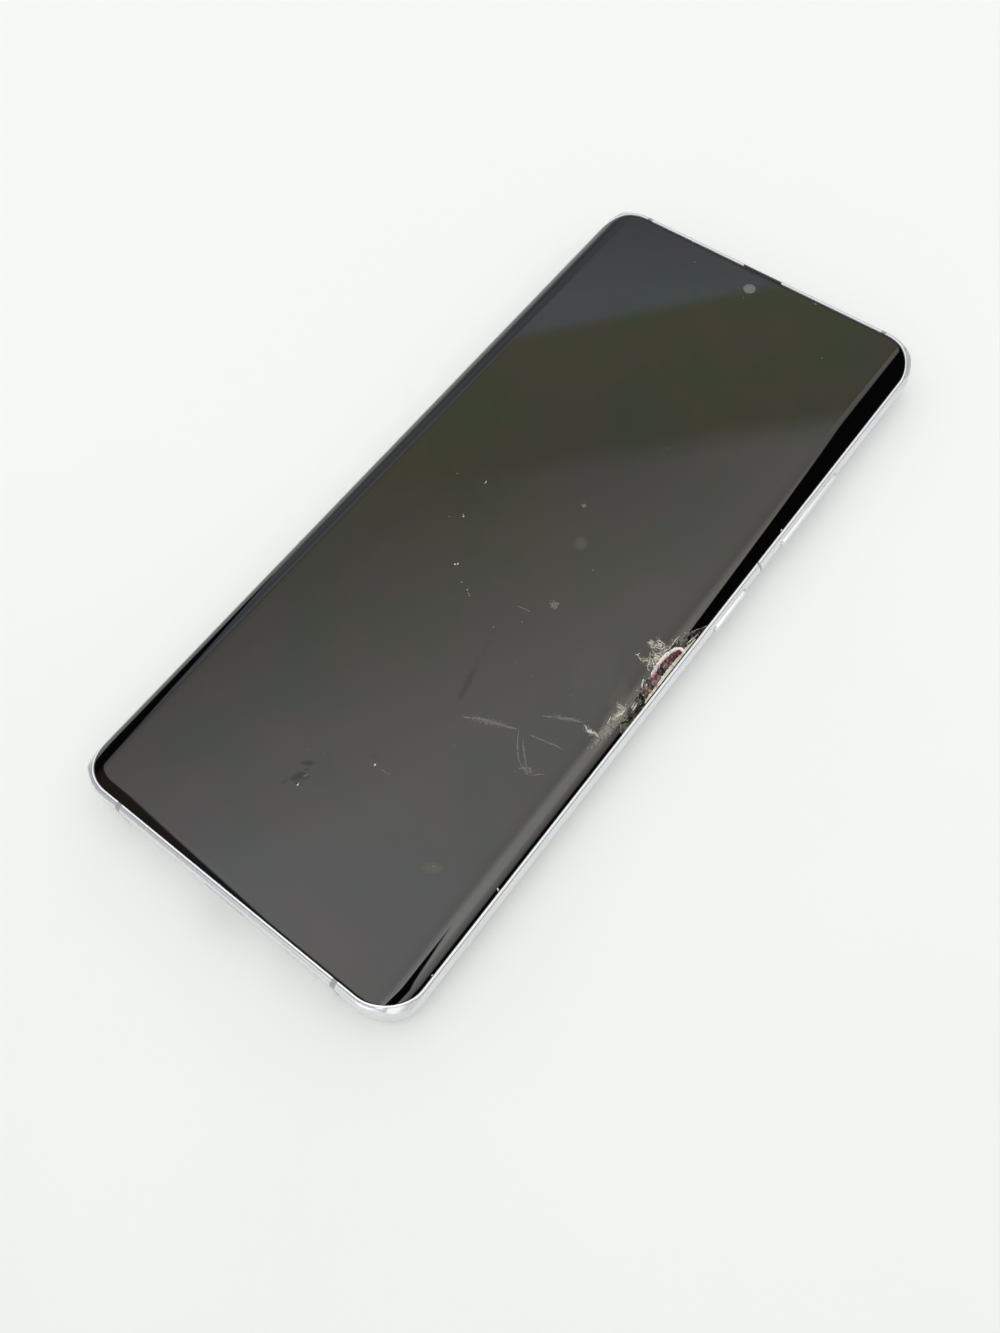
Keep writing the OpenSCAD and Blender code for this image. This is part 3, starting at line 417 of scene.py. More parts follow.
# Height of the front glass's upper face, in millimetres
def glassHeight(x, y):
    over = max(abs(x) - glass["flatHalf"], 0)
    big = glass["rollRadius"]
    height = glassHigh[2] - glass["sink"] - big + math.sqrt(max(big * big - over * over, 0))
    gap, endShare = outlineGap(x, y)
    roll, drop = glass["endRoll"][y > 0], glass["endDrop"][y > 0]
    if gap < roll:
        height -= drop * endShare * (1 - gap / roll) ** 2
    if gap < glass["edgeBreak"]:
        height -= glass["edgeDrop"] * (1 - gap / glass["edgeBreak"]) ** 2
    return height


def glassNormal(x, y):
    step = glass["slopeStep"]
    slopeX = (glassHeight(x + step, y) - glassHeight(x - step, y)) / (2 * step)
    slopeY = (glassHeight(x, y + step) - glassHeight(x, y - step)) / (2 * step)
    return Vector((-slopeX, -slopeY, 1)).normalized()


# Corner arcs of a rounded rectangle, run together into one ring of points
def roundedRectangle(x, y, width, length, radius, steps=10):
    points = []
    for k, (sx, sy) in enumerate(((1, 1), (-1, 1), (-1, -1), (1, -1))):
        for i in range(steps + 1):
            turn = math.radians(90 * k + 90 * i / steps)
            points.append((x + sx * (width / 2 - radius) + radius * math.cos(turn),
                           y + sy * (length / 2 - radius) + radius * math.sin(turn)))
    return points


# A bonded cover: rings of points follow the rolled face, the middle is one flat face
def glassShell(name, heightAt, normalAt):
    outlines = [roundedRectangle(0, 0, 2 * (glass["halfWidth"] - gap), 2 * (glass["halfLength"] - gap),
                                 max(glass["cornerRadius"] - gap, 0.05), glass["cornerSteps"])
                for gap in glass["ringGaps"]]
    count, total = len(outlines[0]), len(outlines) * len(outlines[0])
    points, faces = [], []
    for side in (0, 1):
        for x, y in [point for outline in outlines for point in outline]:
            n = normalAt(x, y) * (glass["thickness"] * side)
            points.append((x - n.x, y - n.y, heightAt(x, y) - n.z))
        for ring in range(side * total, (side + 1) * total - count, count):
            for i in range(count):
                j = (i + 1) % count
                quad = [ring + i, ring + j, ring + count + j, ring + count + i]
                faces.append(quad[::-1] if side else quad)
        middle = [(side + 1) * total - count + i for i in range(count)]
        faces.append(middle[::-1] if side else middle)
    faces += [[i, total + i, total + (i + 1) % count, (i + 1) % count] for i in range(count)]
    mesh = meshFrom(name, points, faces)
    cleanMesh(mesh)
    return mesh


# Exact normals on the polished face, so that reflections run clean; flat ones elsewhere
def polishNormals(mesh, heightAt, normalAt, sign):
    mesh.shade_smooth()
    normals = []
    for polygon in mesh.polygons:
        for corner in polygon.vertices:
            x, y, z = [c / mm for c in mesh.vertices[corner].co]
            onFace = abs(z - heightAt(x, y)) < 0.004 and polygon.normal.z * sign > 0.4
            normals.append(tuple(normalAt(x, y)) if onFace else tuple(polygon.normal))
    mesh.normals_split_custom_set(normals)


def prism(name, outline, low, high):
    mesh = loft(name, [[(x, y, z) for x, y in outline] for z in (low, high)])
    cleanMesh(mesh)
    return mesh


def cutWith(piece, cutter):
    cut = piece.modifiers.new("cut", "BOOLEAN")
    cut.operation, cut.solver, cut.object = "DIFFERENCE", "MANIFOLD", cutter
    settle(piece)
    mesh = cutter.data
    bpy.data.objects.remove(cutter)
    bpy.data.meshes.remove(mesh)


def setMaterials(piece, *materials):
    piece.data.materials.clear()
    for material in materials:
        piece.data.materials.append(material)


# Rough edge line between given points, wandering by a set amount
def roughLine(points, step, wander, seed):
    pick = random.Random(seed)
    line = []
    for (x0, y0), (x1, y1) in zip(points, points[1:]):
        length = math.hypot(x1 - x0, y1 - y0)
        pieces = max(1, round(length / step))
        for i in range(pieces):
            t = i / pieces
            push = 0 if i == 0 else pick.uniform(-wander, wander)
            line.append((x0 + (x1 - x0) * t - (y1 - y0) / length * push,
                         y0 + (y1 - y0) * t + (x1 - x0) / length * push))
    return line + [points[-1]]


# Soft-edged spot at a place on the display: 1 in its middle, 0 outside
def softSpot(add, coords, x, y, wide, long, turn=0.0, soft=0.5, wander=None):
    vector = add("Mapping", {0: coords, 1: (x * mm, y * mm, 0), 2: (0, 0, math.radians(turn)),
                             3: (wide * mm / 2, long * mm / 2, 1)}, vector_type="TEXTURE")
    flat = add("VectorMath/MULTIPLY", [vector, (1, 1, 0)])
    reach = add("VectorMath/LENGTH", [flat], "Value")
    if wander is not None:
        reach = add("Math/ADD", [reach, wander])
    return add("MapRange", [reach, 1 - soft, 1 + soft * 0.4, 1, 0], **smooth)


display = {
    "dullSpots": [   # x, y, width, length, turn, strength
        (8.15, 6.5, 2.7, 2.7, 0, 0.9),
        (25.3, -57.05, 3.4, 1.8, 35, 0.8),
        (32.6, -17.5, 1.5, 9.0, 4, 0.8),
        (31.6, -14.5, 3.0, 7.0, 14, 0.4),
        (26.0, -14.0, 9.0, 16.0, 25, 0.22),
        (12.0, -6.9, 1.6, 1.4, 0, 0.5),
        (3.8, 13.6, 1.4, 1.0, 0, 0.5),
        (9.0, 33.0, 2.0, 1.4, 20, 0.25),
    ],
    "haze": [        # crazed patches, lacy where the grain breaks through
        (32.75, -4.7, 2.0, 2.8, 0, 0.6),
        (31.7, -2.5, 2.2, 1.7, 0, 0.35),
        (30.3, -3.0, 1.0, 1.2, 0, 0.7),
        (33.2, -2.6, 1.3, 2.0, -20, 0.7),
        (31.9, -6.2, 2.0, 1.2, 10, 0.5),
        (31.5, -22.75, 1.6, 0.9, -5, 0.8),
        (32.6, -22.6, 1.2, 0.6, -10, 0.6),
        (33.5, -17.2, 1.0, 3.6, -8, 0.65),
        (33.1, -15.9, 1.6, 1.0, 20, 0.55),
        (33.6, -20.5, 1.4, 7.0, -4, 0.3),
        (11.95, -6.6, 1.3, 1.2, 0, 0.35),
        (16.5, -31.5, 4.8, 0.9, 20, 0.22),
        (26.9, -34.6, 1.8, 1.0, 0, 0.25),
        (27.2, -23.1, 4.6, 0.8, 28, 0.22),
    ],
    "darkSmears": [
        (9.0, -27.5, 1.6, 10.5, 15, 0.75),
        (7.0, -19.5, 1.1, 9.0, 12, 0.35),
        (-3.5, -55.6, 3.8, 1.1, 36, 0.9),
        (-2.95, -56.6, 1.3, 0.7, 20, 0.8),
        (-3.1, -58.3, 4.4, 2.0, 44, 0.9),
        (-4.5, -60.6, 1.3, 1.3, 0, 0.6),
        (-2.5, -59.3, 2.2, 1.2, 20, 0.7),
        (5.0, -47.9, 1.8, 1.2, 20, 0.4),
        (5.7, -14.0, 0.9, 5.0, 4, 0.5),
        (33.3, -8.6, 0.8, 7.0, -4, 0.5),
    ],
}


# Strength of all the spots of one kind, where they overlap the strongest
def gatherSpots(add, coords, key, soft, wander):
    total = None
    for *place, strength in display[key]:
        spot = add("Math/MULTIPLY", [softSpot(add, coords, *place, soft, wander), strength])
        total = spot if total is None else add("Math/MAXIMUM", [total, spot])
    return total


# Chemically strengthened glass bonded over a dark display: mirror-smooth, nearly black under it,
# with faint brown and green patches, dull greasy spots, dark smears and crazed haze
def displayGlass():
    material, add, shader, coords = startMaterial("strengthenedGlassOverDisplay", Roughness=0.03, IOR=1.53)
    tint = blendTones(add, grainNoise(add, coords, 13, 4), 0.35, 0.65, "#0D1A0D", "#231817")
    tint = blendTones(add, grainNoise(add, coords, 24, 3), 0.45, 0.7, tint, "#10151A", 0.7)
    sideways = add("Math/ABSOLUTE", [add("SeparateXYZ", [coords])])
    # painted shade: the rolled edges are painted blacker than the flat middle, as they mirror only dark walls
    inner = add("MapRange", [sideways, 30.5 * mm, 32.5 * mm, 1, 0], **smooth)
    tint = add("Mix", {0: inner, 6: "#020202", 7: tint}, 2, **inColour)
    wander = add("MapRange", [grainNoise(add, coords, 1.1, 4), 0, 1, -0.45, 0.45])
    lace = add("MapRange", [grainNoise(add, coords, 0.42, 4, rough=0.75), 0.36, 0.64, -0.9, 1.0])
    dull = gatherSpots(add, coords, "dullSpots", 0.6, wander)
    smear = gatherSpots(add, coords, "darkSmears", 0.7, wander)
    haze = gatherSpots(add, coords, "haze", 0.5, lace)
    colour = add("Mix", {0: dull, 6: tint, 7: "#3A382C"}, 2, **inColour)
    colour = add("Mix", {0: haze, 6: colour, 7: "#A9A695"}, 2, **inColour)
    fine = add("MapRange", [grainNoise(add, coords, 3, 3), 0.4, 0.75, 0.02, 0.05])
    rough = add("Math/ADD", [fine, add("Math/MULTIPLY", [dull, 0.25])])
    worn = add("Math/MULTIPLY", [add("Math/MAXIMUM", [smear, haze]), 0.5])
    feed(shader, Base_Color=colour, Roughness=add("Math/ADD", [rough, worn]))
    return material


# Crushed glass: pale and sugary where the broken edge catches light, pinkish over the panel
def crushedGlass():
    material, add, shader, coords = startMaterial("crushedGlassEdge", Roughness=0.35, IOR=1.5)
    grit = grainNoise(add, coords, 0.25, 2)
    colour = blendTones(add, grainNoise(add, coords, 1.2, 3), 0.42, 0.62, "#F3E7DE", "#C79AA6")
    feed(shader, Base_Color=blendTones(add, grit, 0.55, 0.8, colour, "#8E7F79", 0.5),
         Normal=add("Bump", {"Height": grit, "Strength": 0.6, "Distance": 0.1 * mm}))
    return material


def buildCoverGlass():
    piece = newObject("coverGlass", glassShell("coverGlass", glassHeight, glassNormal))
    edge = roughLine(breakLine, **breakCut["edge"])
    cutWith(piece, newObject("breakCutter", prism("breakCutter", edge[::-1], *breakCut["heights"])))
    setMaterials(piece, displayGlass(), crushedGlass())
    foot, top = breakCut["rows"]
    for polygon in piece.data.polygons:
        x, y = [c / mm for c in polygon.center[:2]]
        if abs(polygon.normal.z) < 0.3 and foot < y < top and outlineGap(x, y)[0] > 0.02:
            polygon.material_index = 1    # upright walls of the break
    polishNormals(piece.data, glassHeight, glassNormal, 1)
    finishPiece(piece, "phone", "front_glass", "cover_glass")
    print("cover glass:", len(piece.data.polygons), "faces")


buildCoverGlass()

# Bands on the frame round the glass, as distances out from it: a painted highlight along the bevel, then a
# thin line of painted shade
trim = {"bright": (0.0, 0.3), "groove": (0.33, 0.4)}


# Distance out from the glass outline, in metres
def outwardFrom(add, coords):
    r = glass["cornerRadius"]
    core = ((glass["halfWidth"] - r) * mm, (glass["halfLength"] - r) * mm, 0)
    beyond = add("VectorMath/SUBTRACT", [add("VectorMath/ABSOLUTE", [coords]), core])
    beyond = add("VectorMath/MAXIMUM", [beyond, (0, 0, 0)])
    reach = add("VectorMath/LENGTH", [add("VectorMath/MULTIPLY", [beyond, (1, 1, 0)])], "Value")
    return add("Math/SUBTRACT", [reach, r * mm])


# Blasted and anodised aluminium, clear silver: an even satin sheen, a painted highlight along the diamond-cut
# bevel next to the glass and a thin line of painted shade beyond it; the blasting's grit is too fine to show
# as relief
def anodisedAluminium():
    material, add, shader, coords = startMaterial("anodisedAluminium", Metallic=0.55, Roughness=0.3)
    cloud = grainNoise(add, coords, 9, 2)
    colour = blendTones(add, cloud, 0.35, 0.65, "#E5E7E9", "#DFE1E3")
    out = outwardFrom(add, coords)
    upper = add("MapRange", [add("SeparateXYZ", [coords], 2), 6.3 * mm, 6.5 * mm, 0, 1])
    bands = []
    # painted highlight and painted shade, on the frame's upper face only; the highlight is also made less
    # metallic so that it stays white
    for key, tone in (("bright", "#FBFCFD"), ("groove", "#B4B6B8")):
        low, high = [d * mm for d in trim[key]]
        band = add("Math/MULTIPLY", [add("MapRange", [out, low - 0.04 * mm, low, 0, 1]),
                                     add("MapRange", [out, high, high + 0.05 * mm, 1, 0])])
        bands.append(add("Math/MULTIPLY", [band, upper]))
        colour = add("Mix", {0: bands[-1], 6: colour, 7: tone}, 2, **inColour)
    feed(shader, Base_Color=colour, Metallic=add("MapRange", [bands[0], 0, 1, 0.55, 0.15]),
         Roughness=add("MapRange", [cloud, 0.3, 0.7, 0.3, 0.36]))
    return material


frameFinish = anodisedAluminium()
smoothCopy("mid_frame", "midFrame", "frame_metal", frameFinish)
smoothCopy("power_key", "powerKey", "frame_metal", frameFinish, bevel=0.08)
smoothCopy("volume_key", "volumeKey", "frame_metal", frameFinish, bevel=0.08)
print("frame and keys ready")

# The break: crushed glass, torn panel and bare tape
crush = {
    "step": 0.07,          # spacing of the surface points
    "thickness": 0.22,
    "corner": (32.85, -19.9),   # where the grid of points starts, and its length
    "length": 26.8,
    "reach": 0.08,         # how far the layers run in under the sound glass
    # outlines of the torn hole and the powdered rim, and the left edge of the bare tape
    "hole": [(35.3, -0.5), (34.75, -0.65), (34.38, -1.15), (34.0, -2.2), (33.8, -3.6), (33.75, -5.0),
             (33.85, -5.94), (34.0, -7.14), (34.15, -8.0), (33.75, -8.9), (33.72, -9.9),
             (34.2, -11.0), (34.6, -11.6), (35.2, -11.9), (35.6, -10.6), (35.6, -1.0)],
    "rim": [(35.4, -0.2), (34.9, -0.1), (34.18, -0.75), (33.62, -1.9), (33.3, -3.1), (33.2, -4.6),
            (33.22, -5.8), (33.37, -6.9), (33.72, -8.2), (34.3, -8.3), (35.2, -4.5)],
    "tapeLeft": [(35.62, 3.0), (35.48, 1.91), (35.33, 0.26), (35.36, -0.75), (35.24, -2.72), (35.18, -4.6),
                 (35.22, -6.33), (35.24, -7.4), (35.36, -8.45), (35.45, -9.6), (35.4, -10.68),
                 (35.44, -11.86), (35.75, -12.6)],
    "tapeEdge": 35.8,
    "grainLong": 0.85,     # usual size of a glass fragment along the edge, and across it
    "grainWide": 0.5,
    "grainsFrom": (32.9, -20.5),   # corners of the area that they fill
    "grainsTo": (36.2, 7.5),
    "grainShift": (0.2, 0.35),     # how far one may stray from its row
    "grainHeight": (-0.04, 0.02),
    "grainTilt": (0.22, 0.16),
    "seed": 7,
    "tapeDepth": (0.07, 0.05),        # depths under the sound glass, and how far they swing
    "tornDepth": (0.40, 0.10),
    "rimDepth": (0.02, 0.33, 0.03),   # at the outer edge, its fall inward, and its swing
    "shardDepth": 0.07,
    "tapeTones": ("#DAD7C8", "#ABA794", "#26241E"),   # cream, shaded, and painted shade in the gap beside the frame
    "gapShadeEdge": 35.66,
    "rimTones": ("#F4EDE4", "#B77F90"),
    "crackTone": "#7F7E6C",
    # tones of the fragments, painted reflections of what each facet mirrors, and how often each comes
    "shardReflectionTones": [("#080807", 26), ("#14150E", 22), ("#23251A", 22), ("#343524", 14), ("#45432F", 8),
                     ("#575844", 4), ("#6A6A5C", 2)],
    # torn layers: x, y, half width, half length, colour
    "layers": [(34.75, -1.9, 0.6, 1.5, "#5A0716"), (34.6, -3.1, 0.45, 1.1, "#4A0712"),
               (34.95, -4.0, 0.4, 0.9, "#7E5A52"), (34.5, -4.6, 0.3, 0.8, "#8A5361"),
               (34.65, -5.6, 0.6, 1.0, "#120808"), (34.35, -7.6, 0.4, 0.8, "#6A2434"),
               (34.9, -7.3, 0.4, 0.7, "#8B6C69"), (34.75, -8.3, 0.5, 0.6, "#8F767A"),
               (34.2, -9.2, 0.35, 0.6, "#2C1712"), (34.9, -9.4, 0.4, 0.5, "#3A2A20"),
               (34.3, -10.1, 0.35, 0.4, "#8C7068"), (35.1, -10.0, 0.35, 0.4, "#B08E78"),
               (34.7, -10.7, 0.4, 0.5, "#5A2E2C"), (35.1, -11.3, 0.4, 0.5, "#403426"),
               (34.0, -9.7, 0.25, 0.3, "#B9A9A4"), (35.3, -8.9, 0.25, 0.3, "#BCA79E")],
}


# Whether a point lies within a closed outline
def inside(x, y, outline):
    hit = False
    for (x0, y0), (x1, y1) in zip(outline, outline[1:] + outline[:1]):
        if (y0 > y) != (y1 > y) and x < x0 + (y - y0) / (y1 - y0) * (x1 - x0):
            hit = not hit
    return hit


# Least distance from a point to a line of points
def farFrom(x, y, line):
    best = 99.0
    for (x0, y0), (x1, y1) in zip(line, line[1:]):
        dx, dy = x1 - x0, y1 - y0
        t = min(max(((x - x0) * dx + (y - y0) * dy) / (dx * dx + dy * dy), 0), 1)
        best = min(best, math.hypot(x - x0 - dx * t, y - y0 - dy * t))
    return best


def ripple(x, y, size, shift=0.0):
    return noise.noise(Vector((x / size, y / size, shift)))


# Where the bare tape begins, at a place along the edge
def tapeStart(y):
    for (x0, y0), (x1, y1) in zip(crush["tapeLeft"], crush["tapeLeft"][1:]):
        if y1 <= y <= y0:
            return x0 + (x1 - x0) * (y0 - y) / (y0 - y1)
    return 99.0


# Which layer shows at a place in the break, with ragged borders between them
def layerKind(x, y):
    wx = x + 0.12 * ripple(x, y, 0.45, 3.0)
    wy = y + 0.3 * ripple(x, y, 0.6, 9.0)
    if x > tapeStart(y) - 0.08 + 0.09 * ripple(x, y, 0.5, 5.0):
        return "tape"
    if inside(wx, wy, crush["hole"]):
        return "torn"
    if inside(wx, wy, crush["rim"]):
        return "rim"
    return "shards"


# Fragments of glass that still hold together: each has its own height, tilt and colour
def makeFragments():
    pick = random.Random(crush["seed"])
    names, shares = zip(*crush["shardReflectionTones"])
    (startX, y), (endX, endY) = crush["grainsFrom"], crush["grainsTo"]
    fragments = []
    while y < endY:
        x = startX + pick.uniform(0, crush["grainWide"])
        while x < endX:
            place = [c + pick.uniform(-s, s) for c, s in zip((x, y), crush["grainShift"])]
            height = pick.uniform(*crush["grainHeight"])
            tilt = [pick.uniform(-t, t) for t in crush["grainTilt"]]
            # each fragment's tone is a painted reflection, picked at random
            fragments.append((*place, height, *tilt, linear(pick.choices(names, shares)[0])))
            x += crush["grainWide"]
        y += crush["grainLong"]
    return fragments


fragments = makeFragments()


def blendColour(first, second, share):
    return [a + (b - a) * share for a, b in zip(first, second)]


# Depth below the sound glass and colour of the broken surface
def brokenSurface(x, y, kind):
    if kind == "tape":
        tone = 0.5 + 0.9 * ripple(x, y, 0.7, 1.0)
        cream, shaded, gapShade = [linear(code) for code in crush["tapeTones"]]
        colour = blendColour(cream, shaded, min(max(tone, 0), 1))
        # painted shade: the gap between the tape and the frame is painted dark
        if x > crush["gapShadeEdge"] + 0.05 * ripple(x, y, 0.8, 7.0):
            colour = gapShade
        depth, swing = crush["tapeDepth"]
        return depth + swing * ripple(x, y, 0.5), colour
    if kind == "torn":
        best, colour = 99.0, None
        for cx, cy, wide, long, code in crush["layers"]:
            reach = math.hypot((x - cx) / wide, (y - cy) / long) + 0.5 * ripple(x, y, 0.35, cx + cy)
            if reach < best:
                best, colour = reach, linear(code)
        shade = 0.75 + 0.9 * ripple(x, y, 0.3, 2.0)
        depth, swing = crush["tornDepth"]
        return depth + swing * ripple(x, y, 0.6, 4.0), [c * max(shade, 0.3) for c in colour[:3]] + [1]
    if kind == "rim":
        outer = farFrom(x, y, crush["rim"][:9])
        inner = farFrom(x, y, crush["hole"][:9])
        t = outer / max(outer + inner, 1e-6)
        pink = min(max(t * 1.3 - 0.55 + 0.6 * ripple(x, y, 0.5, 6.0) + max(-y - 4.0, 0) * 0.2, 0), 1)
        colour = blendColour(*[linear(code) for code in crush["rimTones"]], pink)
        depth, fall, swing = crush["rimDepth"]
        return depth + fall * t ** 1.3 + swing * ripple(x, y, 0.25), colour
    ranked = sorted(((x - f[0]) ** 2 / crush["grainWide"] ** 2 + (y - f[1]) ** 2 / crush["grainLong"] ** 2, f)
                    for f in fragments if abs(f[0] - x) < 1.4 and abs(f[1] - y) < 2.2)
    middleX, middleY, height, tiltX, tiltY, colour = ranked[0][1]
    depth = crush["shardDepth"] - height - tiltX * (x - middleX) - tiltY * (y - middleY)
    if ranked[1][0] - ranked[0][0] < 0.09 and ripple(x, y, 0.9, 8.0) > 0.12:
        colour = linear(crush["crackTone"])   # a crack line that catches light
        depth += 0.03
    near = farFrom(x, y, breakLine)
    return max(depth, 0.015 if near < 0.25 else -0.03), colour


# Closed slabs cut from one surface, one for each kind of layer
def buildBreak(finishes):
    step = crush["step"]
    left, foot = crush["corner"]
    chosen = {}
    for r in range(round(crush["length"] / step)):
        for c in range(round((crush["tapeEdge"] - left) / step)):
            x, y = left + (c + 0.5) * step, foot + (r + 0.5) * step
            if inside(x, y, breakLine) or farFrom(x, y, breakLine) < crush["reach"]:
                chosen.setdefault(layerKind(x, y), {})[r, c] = x, y
    for kind, (name, slot, material) in finishes.items():
        work = bmesh.new()
        paint = work.loops.layers.float_color.new("paint")
        corner = {}

        def place(spot, low):
            if (spot, low) not in corner:
                x, y = left + spot[1] * step, foot + spot[0] * step
                depth = brokenSurface(x, y, kind)[0] + (crush["thickness"] if low else 0)
                corner[spot, low] = work.verts.new((x * mm, y * mm, (glassHeight(x, y) - depth) * mm))
            return corner[spot, low]

        cells = chosen[kind]
        for (r, c), (x, y) in cells.items():
            colour = brokenSurface(x, y, kind)[1]
            ring = [(r, c), (r, c + 1), (r + 1, c + 1), (r + 1, c)]
            quads = [[place(spot, False) for spot in ring], [place(spot, True) for spot in ring[::-1]]]
            for k, beside in enumerate(((r - 1, c), (r, c + 1), (r + 1, c), (r, c - 1))):
                if beside not in cells:
                    here, there = ring[k], ring[(k + 1) % 4]
                    quads.append([place(there, False), place(here, False), place(here, True),
                                  place(there, True)])
            for quad in quads:
                for loop in work.faces.new(quad).loops:
                    loop[paint] = colour
        mesh = bpy.data.meshes.new(name)
        work.to_mesh(mesh)
        work.free()
        finishPiece(newObject(name, mesh, material), "phone", slot)
        print("break:", kind, len(mesh.polygons), "faces")


# Painted colours with a fine grain over them, and a rough surface of a real grit size
def paintedFinish(name, roughness, grain, bump, depth, spread=0.25):
    material, add, shader, coords = startMaterial(name, Roughness=roughness, IOR=1.5)
    paint = add("Attribute", out="Color", attribute_name="paint")
    grit = grainNoise(add, coords, grain, 3)
    shade = add("MapRange", [grit, 0.3, 0.7, 1 - spread, 1 + spread])
    grey = add("CombineColor", [shade, shade, shade])
    feed(shader, Base_Color=add("Mix", {0: 1.0, 6: paint, 7: grey}, 2, blend_type="MULTIPLY", **inColour),
         Roughness=add("MapRange", [grit, 0.3, 0.7, roughness * 0.7, min(roughness * 1.4, 1)]),
         Normal=add("Bump", {"Height": grit, "Strength": bump, "Distance": depth * mm}))
    return material


buildBreak({
    # fractured strengthened glass on its film: sharp facets, each painted as dark or pale as what it mirrors,
    # a painted reflection
    "shards": ("crushedGlass", "front_glass",
               paintedFinish("fracturedStrengthenedGlass", 0.22, 0.35, 0.25, 0.05)),
    # powdered edge of the glass: sugary white, pink where it thins over the panel
    "rim": ("brokenRim", "front_glass", paintedFinish("powderedGlassEdge", 0.5, 0.22, 0.5, 0.08, 0.15)),
    # torn polyimide and metal layers of the display: dark red, brown and black films
    "torn": ("tornPanel", "panel", paintedFinish("tornDisplayFilm", 0.32, 0.3, 0.5, 0.1, 0.35)),
    # acrylic foam tape left on the ledge: cream, dull and pitted
    "tape": ("bareTape", "adhesive", paintedFinish("acrylicFoamTape", 0.75, 0.3, 0.5, 0.08, 0.18)),
})

# Crack threads and scratches
marks = {
    "step": 0.12,          # spacing of points along a thread
    "lift": 0.004,
    "seed": 11,
    "wander": 0.6,         # farthest that a point may stray
    # width in millimetres, share of the full wander, points
    "whiteThreads": [
        (0.2, 0.4, [(29.92, -2.83), (30.2, -3.0), (30.6, -3.19), (30.85, -3.6), (30.97, -3.88)]),
        (0.20, 0.4, [(30.0, -2.5), (30.25, -3.0), (30.1, -3.4)]),
        (0.20, 0.4, [(30.69, -2.27), (30.95, -1.9), (31.27, -1.73), (32.15, -1.8), (32.74, -2.04)]),
        (0.22, 0.4, [(32.6, -1.95), (32.5, -2.6), (32.15, -3.01), (31.38, -3.11), (30.85, -2.9)]),
        (0.20, 0.5, [(31.2, -1.9), (31.35, -2.5), (31.1, -3.1), (31.0, -3.8)]),
        (0.18, 0.5, [(31.9, -1.9), (31.8, -2.4), (32.2, -2.8)]),
        (0.24, 0.4, [(29.28, -6.43), (29.5, -6.3), (29.62, -6.31), (29.75, -5.9), (29.81, -5.68)]),
        (0.18, 0.4, [(29.65, -6.2), (29.94, -6.31), (30.3, -6.5), (30.66, -6.75), (31.04, -6.84)]),
        (0.20, 0.4, [(31.04, -6.84), (31.3, -6.5), (31.57, -6.1), (31.93, -6.31)]),
        (0.18, 0.4, [(30.99, -4.36), (31.3, -4.8), (31.76, -5.47), (32.0, -5.9), (32.17, -6.36), (32.6, -6.6),
                     (32.99, -6.63)]),
        (0.16, 0.4, [(30.97, -3.88), (31.5, -4.2), (32.1, -4.15), (32.6, -3.7), (33.1, -3.4)]),
        (0.2, 0.4, [(32.3, -3.3), (32.8, -2.9), (33.1, -2.4), (33.5, -1.7)]),
        (0.2, 0.4, [(31.9, -5.3), (32.4, -5.6), (32.9, -6.0), (33.2, -6.6)]),
        (0.22, 0.5, [(32.2, -6.3), (32.3, -7.0), (32.7, -7.4), (33.2, -7.5)]),
        (0.18, 0.3, [(33.29, -1.1), (33.27, -0.3), (33.27, 0.25), (33.32, 0.8), (33.37, 1.19)]),
        (0.42, 0.2, [(33.12, -9.3), (33.25, -9.7), (33.5, -10.3), (33.8, -10.9)]),
        (0.26, 0.4, [(34.67, -13.3), (34.75, -13.8), (34.8, -14.24), (34.83, -15.02)]),
        (0.22, 0.4, [(34.3, -13.6), (34.4, -14.3), (34.5, -15.0)]),
        (0.34, 0.4, [(32.75, -16.2), (33.0, -16.1), (33.4, -16.16)]),
        (0.40, 0.5, [(33.35, -18.1), (33.5, -17.6), (33.78, -16.91), (33.85, -16.3), (33.88, -15.7)]),
        (0.20, 0.5, [(32.69, -18.4), (32.85, -18.8), (32.97, -19.26), (33.05, -20.0)]),
        (0.22, 0.4, [(29.9, -22.35), (30.43, -22.45), (30.9, -22.7), (31.37, -22.91)]),
        (0.50, 0.6, [(30.95, -22.6), (31.3, -22.95), (31.7, -22.75), (32.28, -22.54)]),
        (0.40, 0.5, [(31.9, -22.6), (32.5, -22.45), (32.9, -22.6), (33.34, -22.77)]),
        (0.18, 0.2, [(-14.6, 7.6), (-14.5, 7.1), (-14.4, 6.6)]),
        (0.22, 0.2, [(35.45, 3.9), (35.3, 2.8), (35.15, 1.8), (35.0, 0.9)]),
    ],
    "greyThreads": [
        (0.8, 0.4, [(12.2, -33.4), (13.37, -32.91), (14.84, -32.01), (16.75, -31.27), (18.74, -30.65)]),
        (0.9, 0.4, [(15.5, -31.8), (16.75, -31.27), (18.74, -30.65), (19.4, -30.3)]),
        (0.5, 0.3, [(18.74, -30.65), (20.2, -30.1), (21.58, -29.56)]),
        (0.45, 0.3, [(21.6, -29.5), (22.5, -31.0), (23.43, -32.27), (24.81, -33.83), (26.17, -34.74)]),
        (0.45, 0.3, [(23.05, -30.28), (24.58, -32.07), (26.09, -33.53), (27.25, -34.58)]),
        (0.9, 0.3, [(26.1, -34.5), (26.8, -34.7), (27.5, -34.75)]),
        (0.7, 0.3, [(23.3, -25.3), (24.0, -24.8), (24.92, -24.34)]),
        (0.9, 0.4, [(24.9, -24.3), (26.45, -23.55), (27.82, -22.7), (29.46, -22.34)]),
        (0.4, 0.3, [(23.51, -29.29), (25.35, -28.92), (26.91, -28.59), (28.46, -28.26), (29.89, -28.18)]),
        (0.3, 0.3, [(6.69, -10.64), (8.38, -10.33), (9.65, -10.31)]),
        (0.3, 0.2, [(7.2, -49.0), (8.2, -49.0), (9.2, -48.8)]),
        (0.3, 0.3, [(28.3, -35.1), (29.3, -34.0), (30.2, -33.4)]),
    ],
}


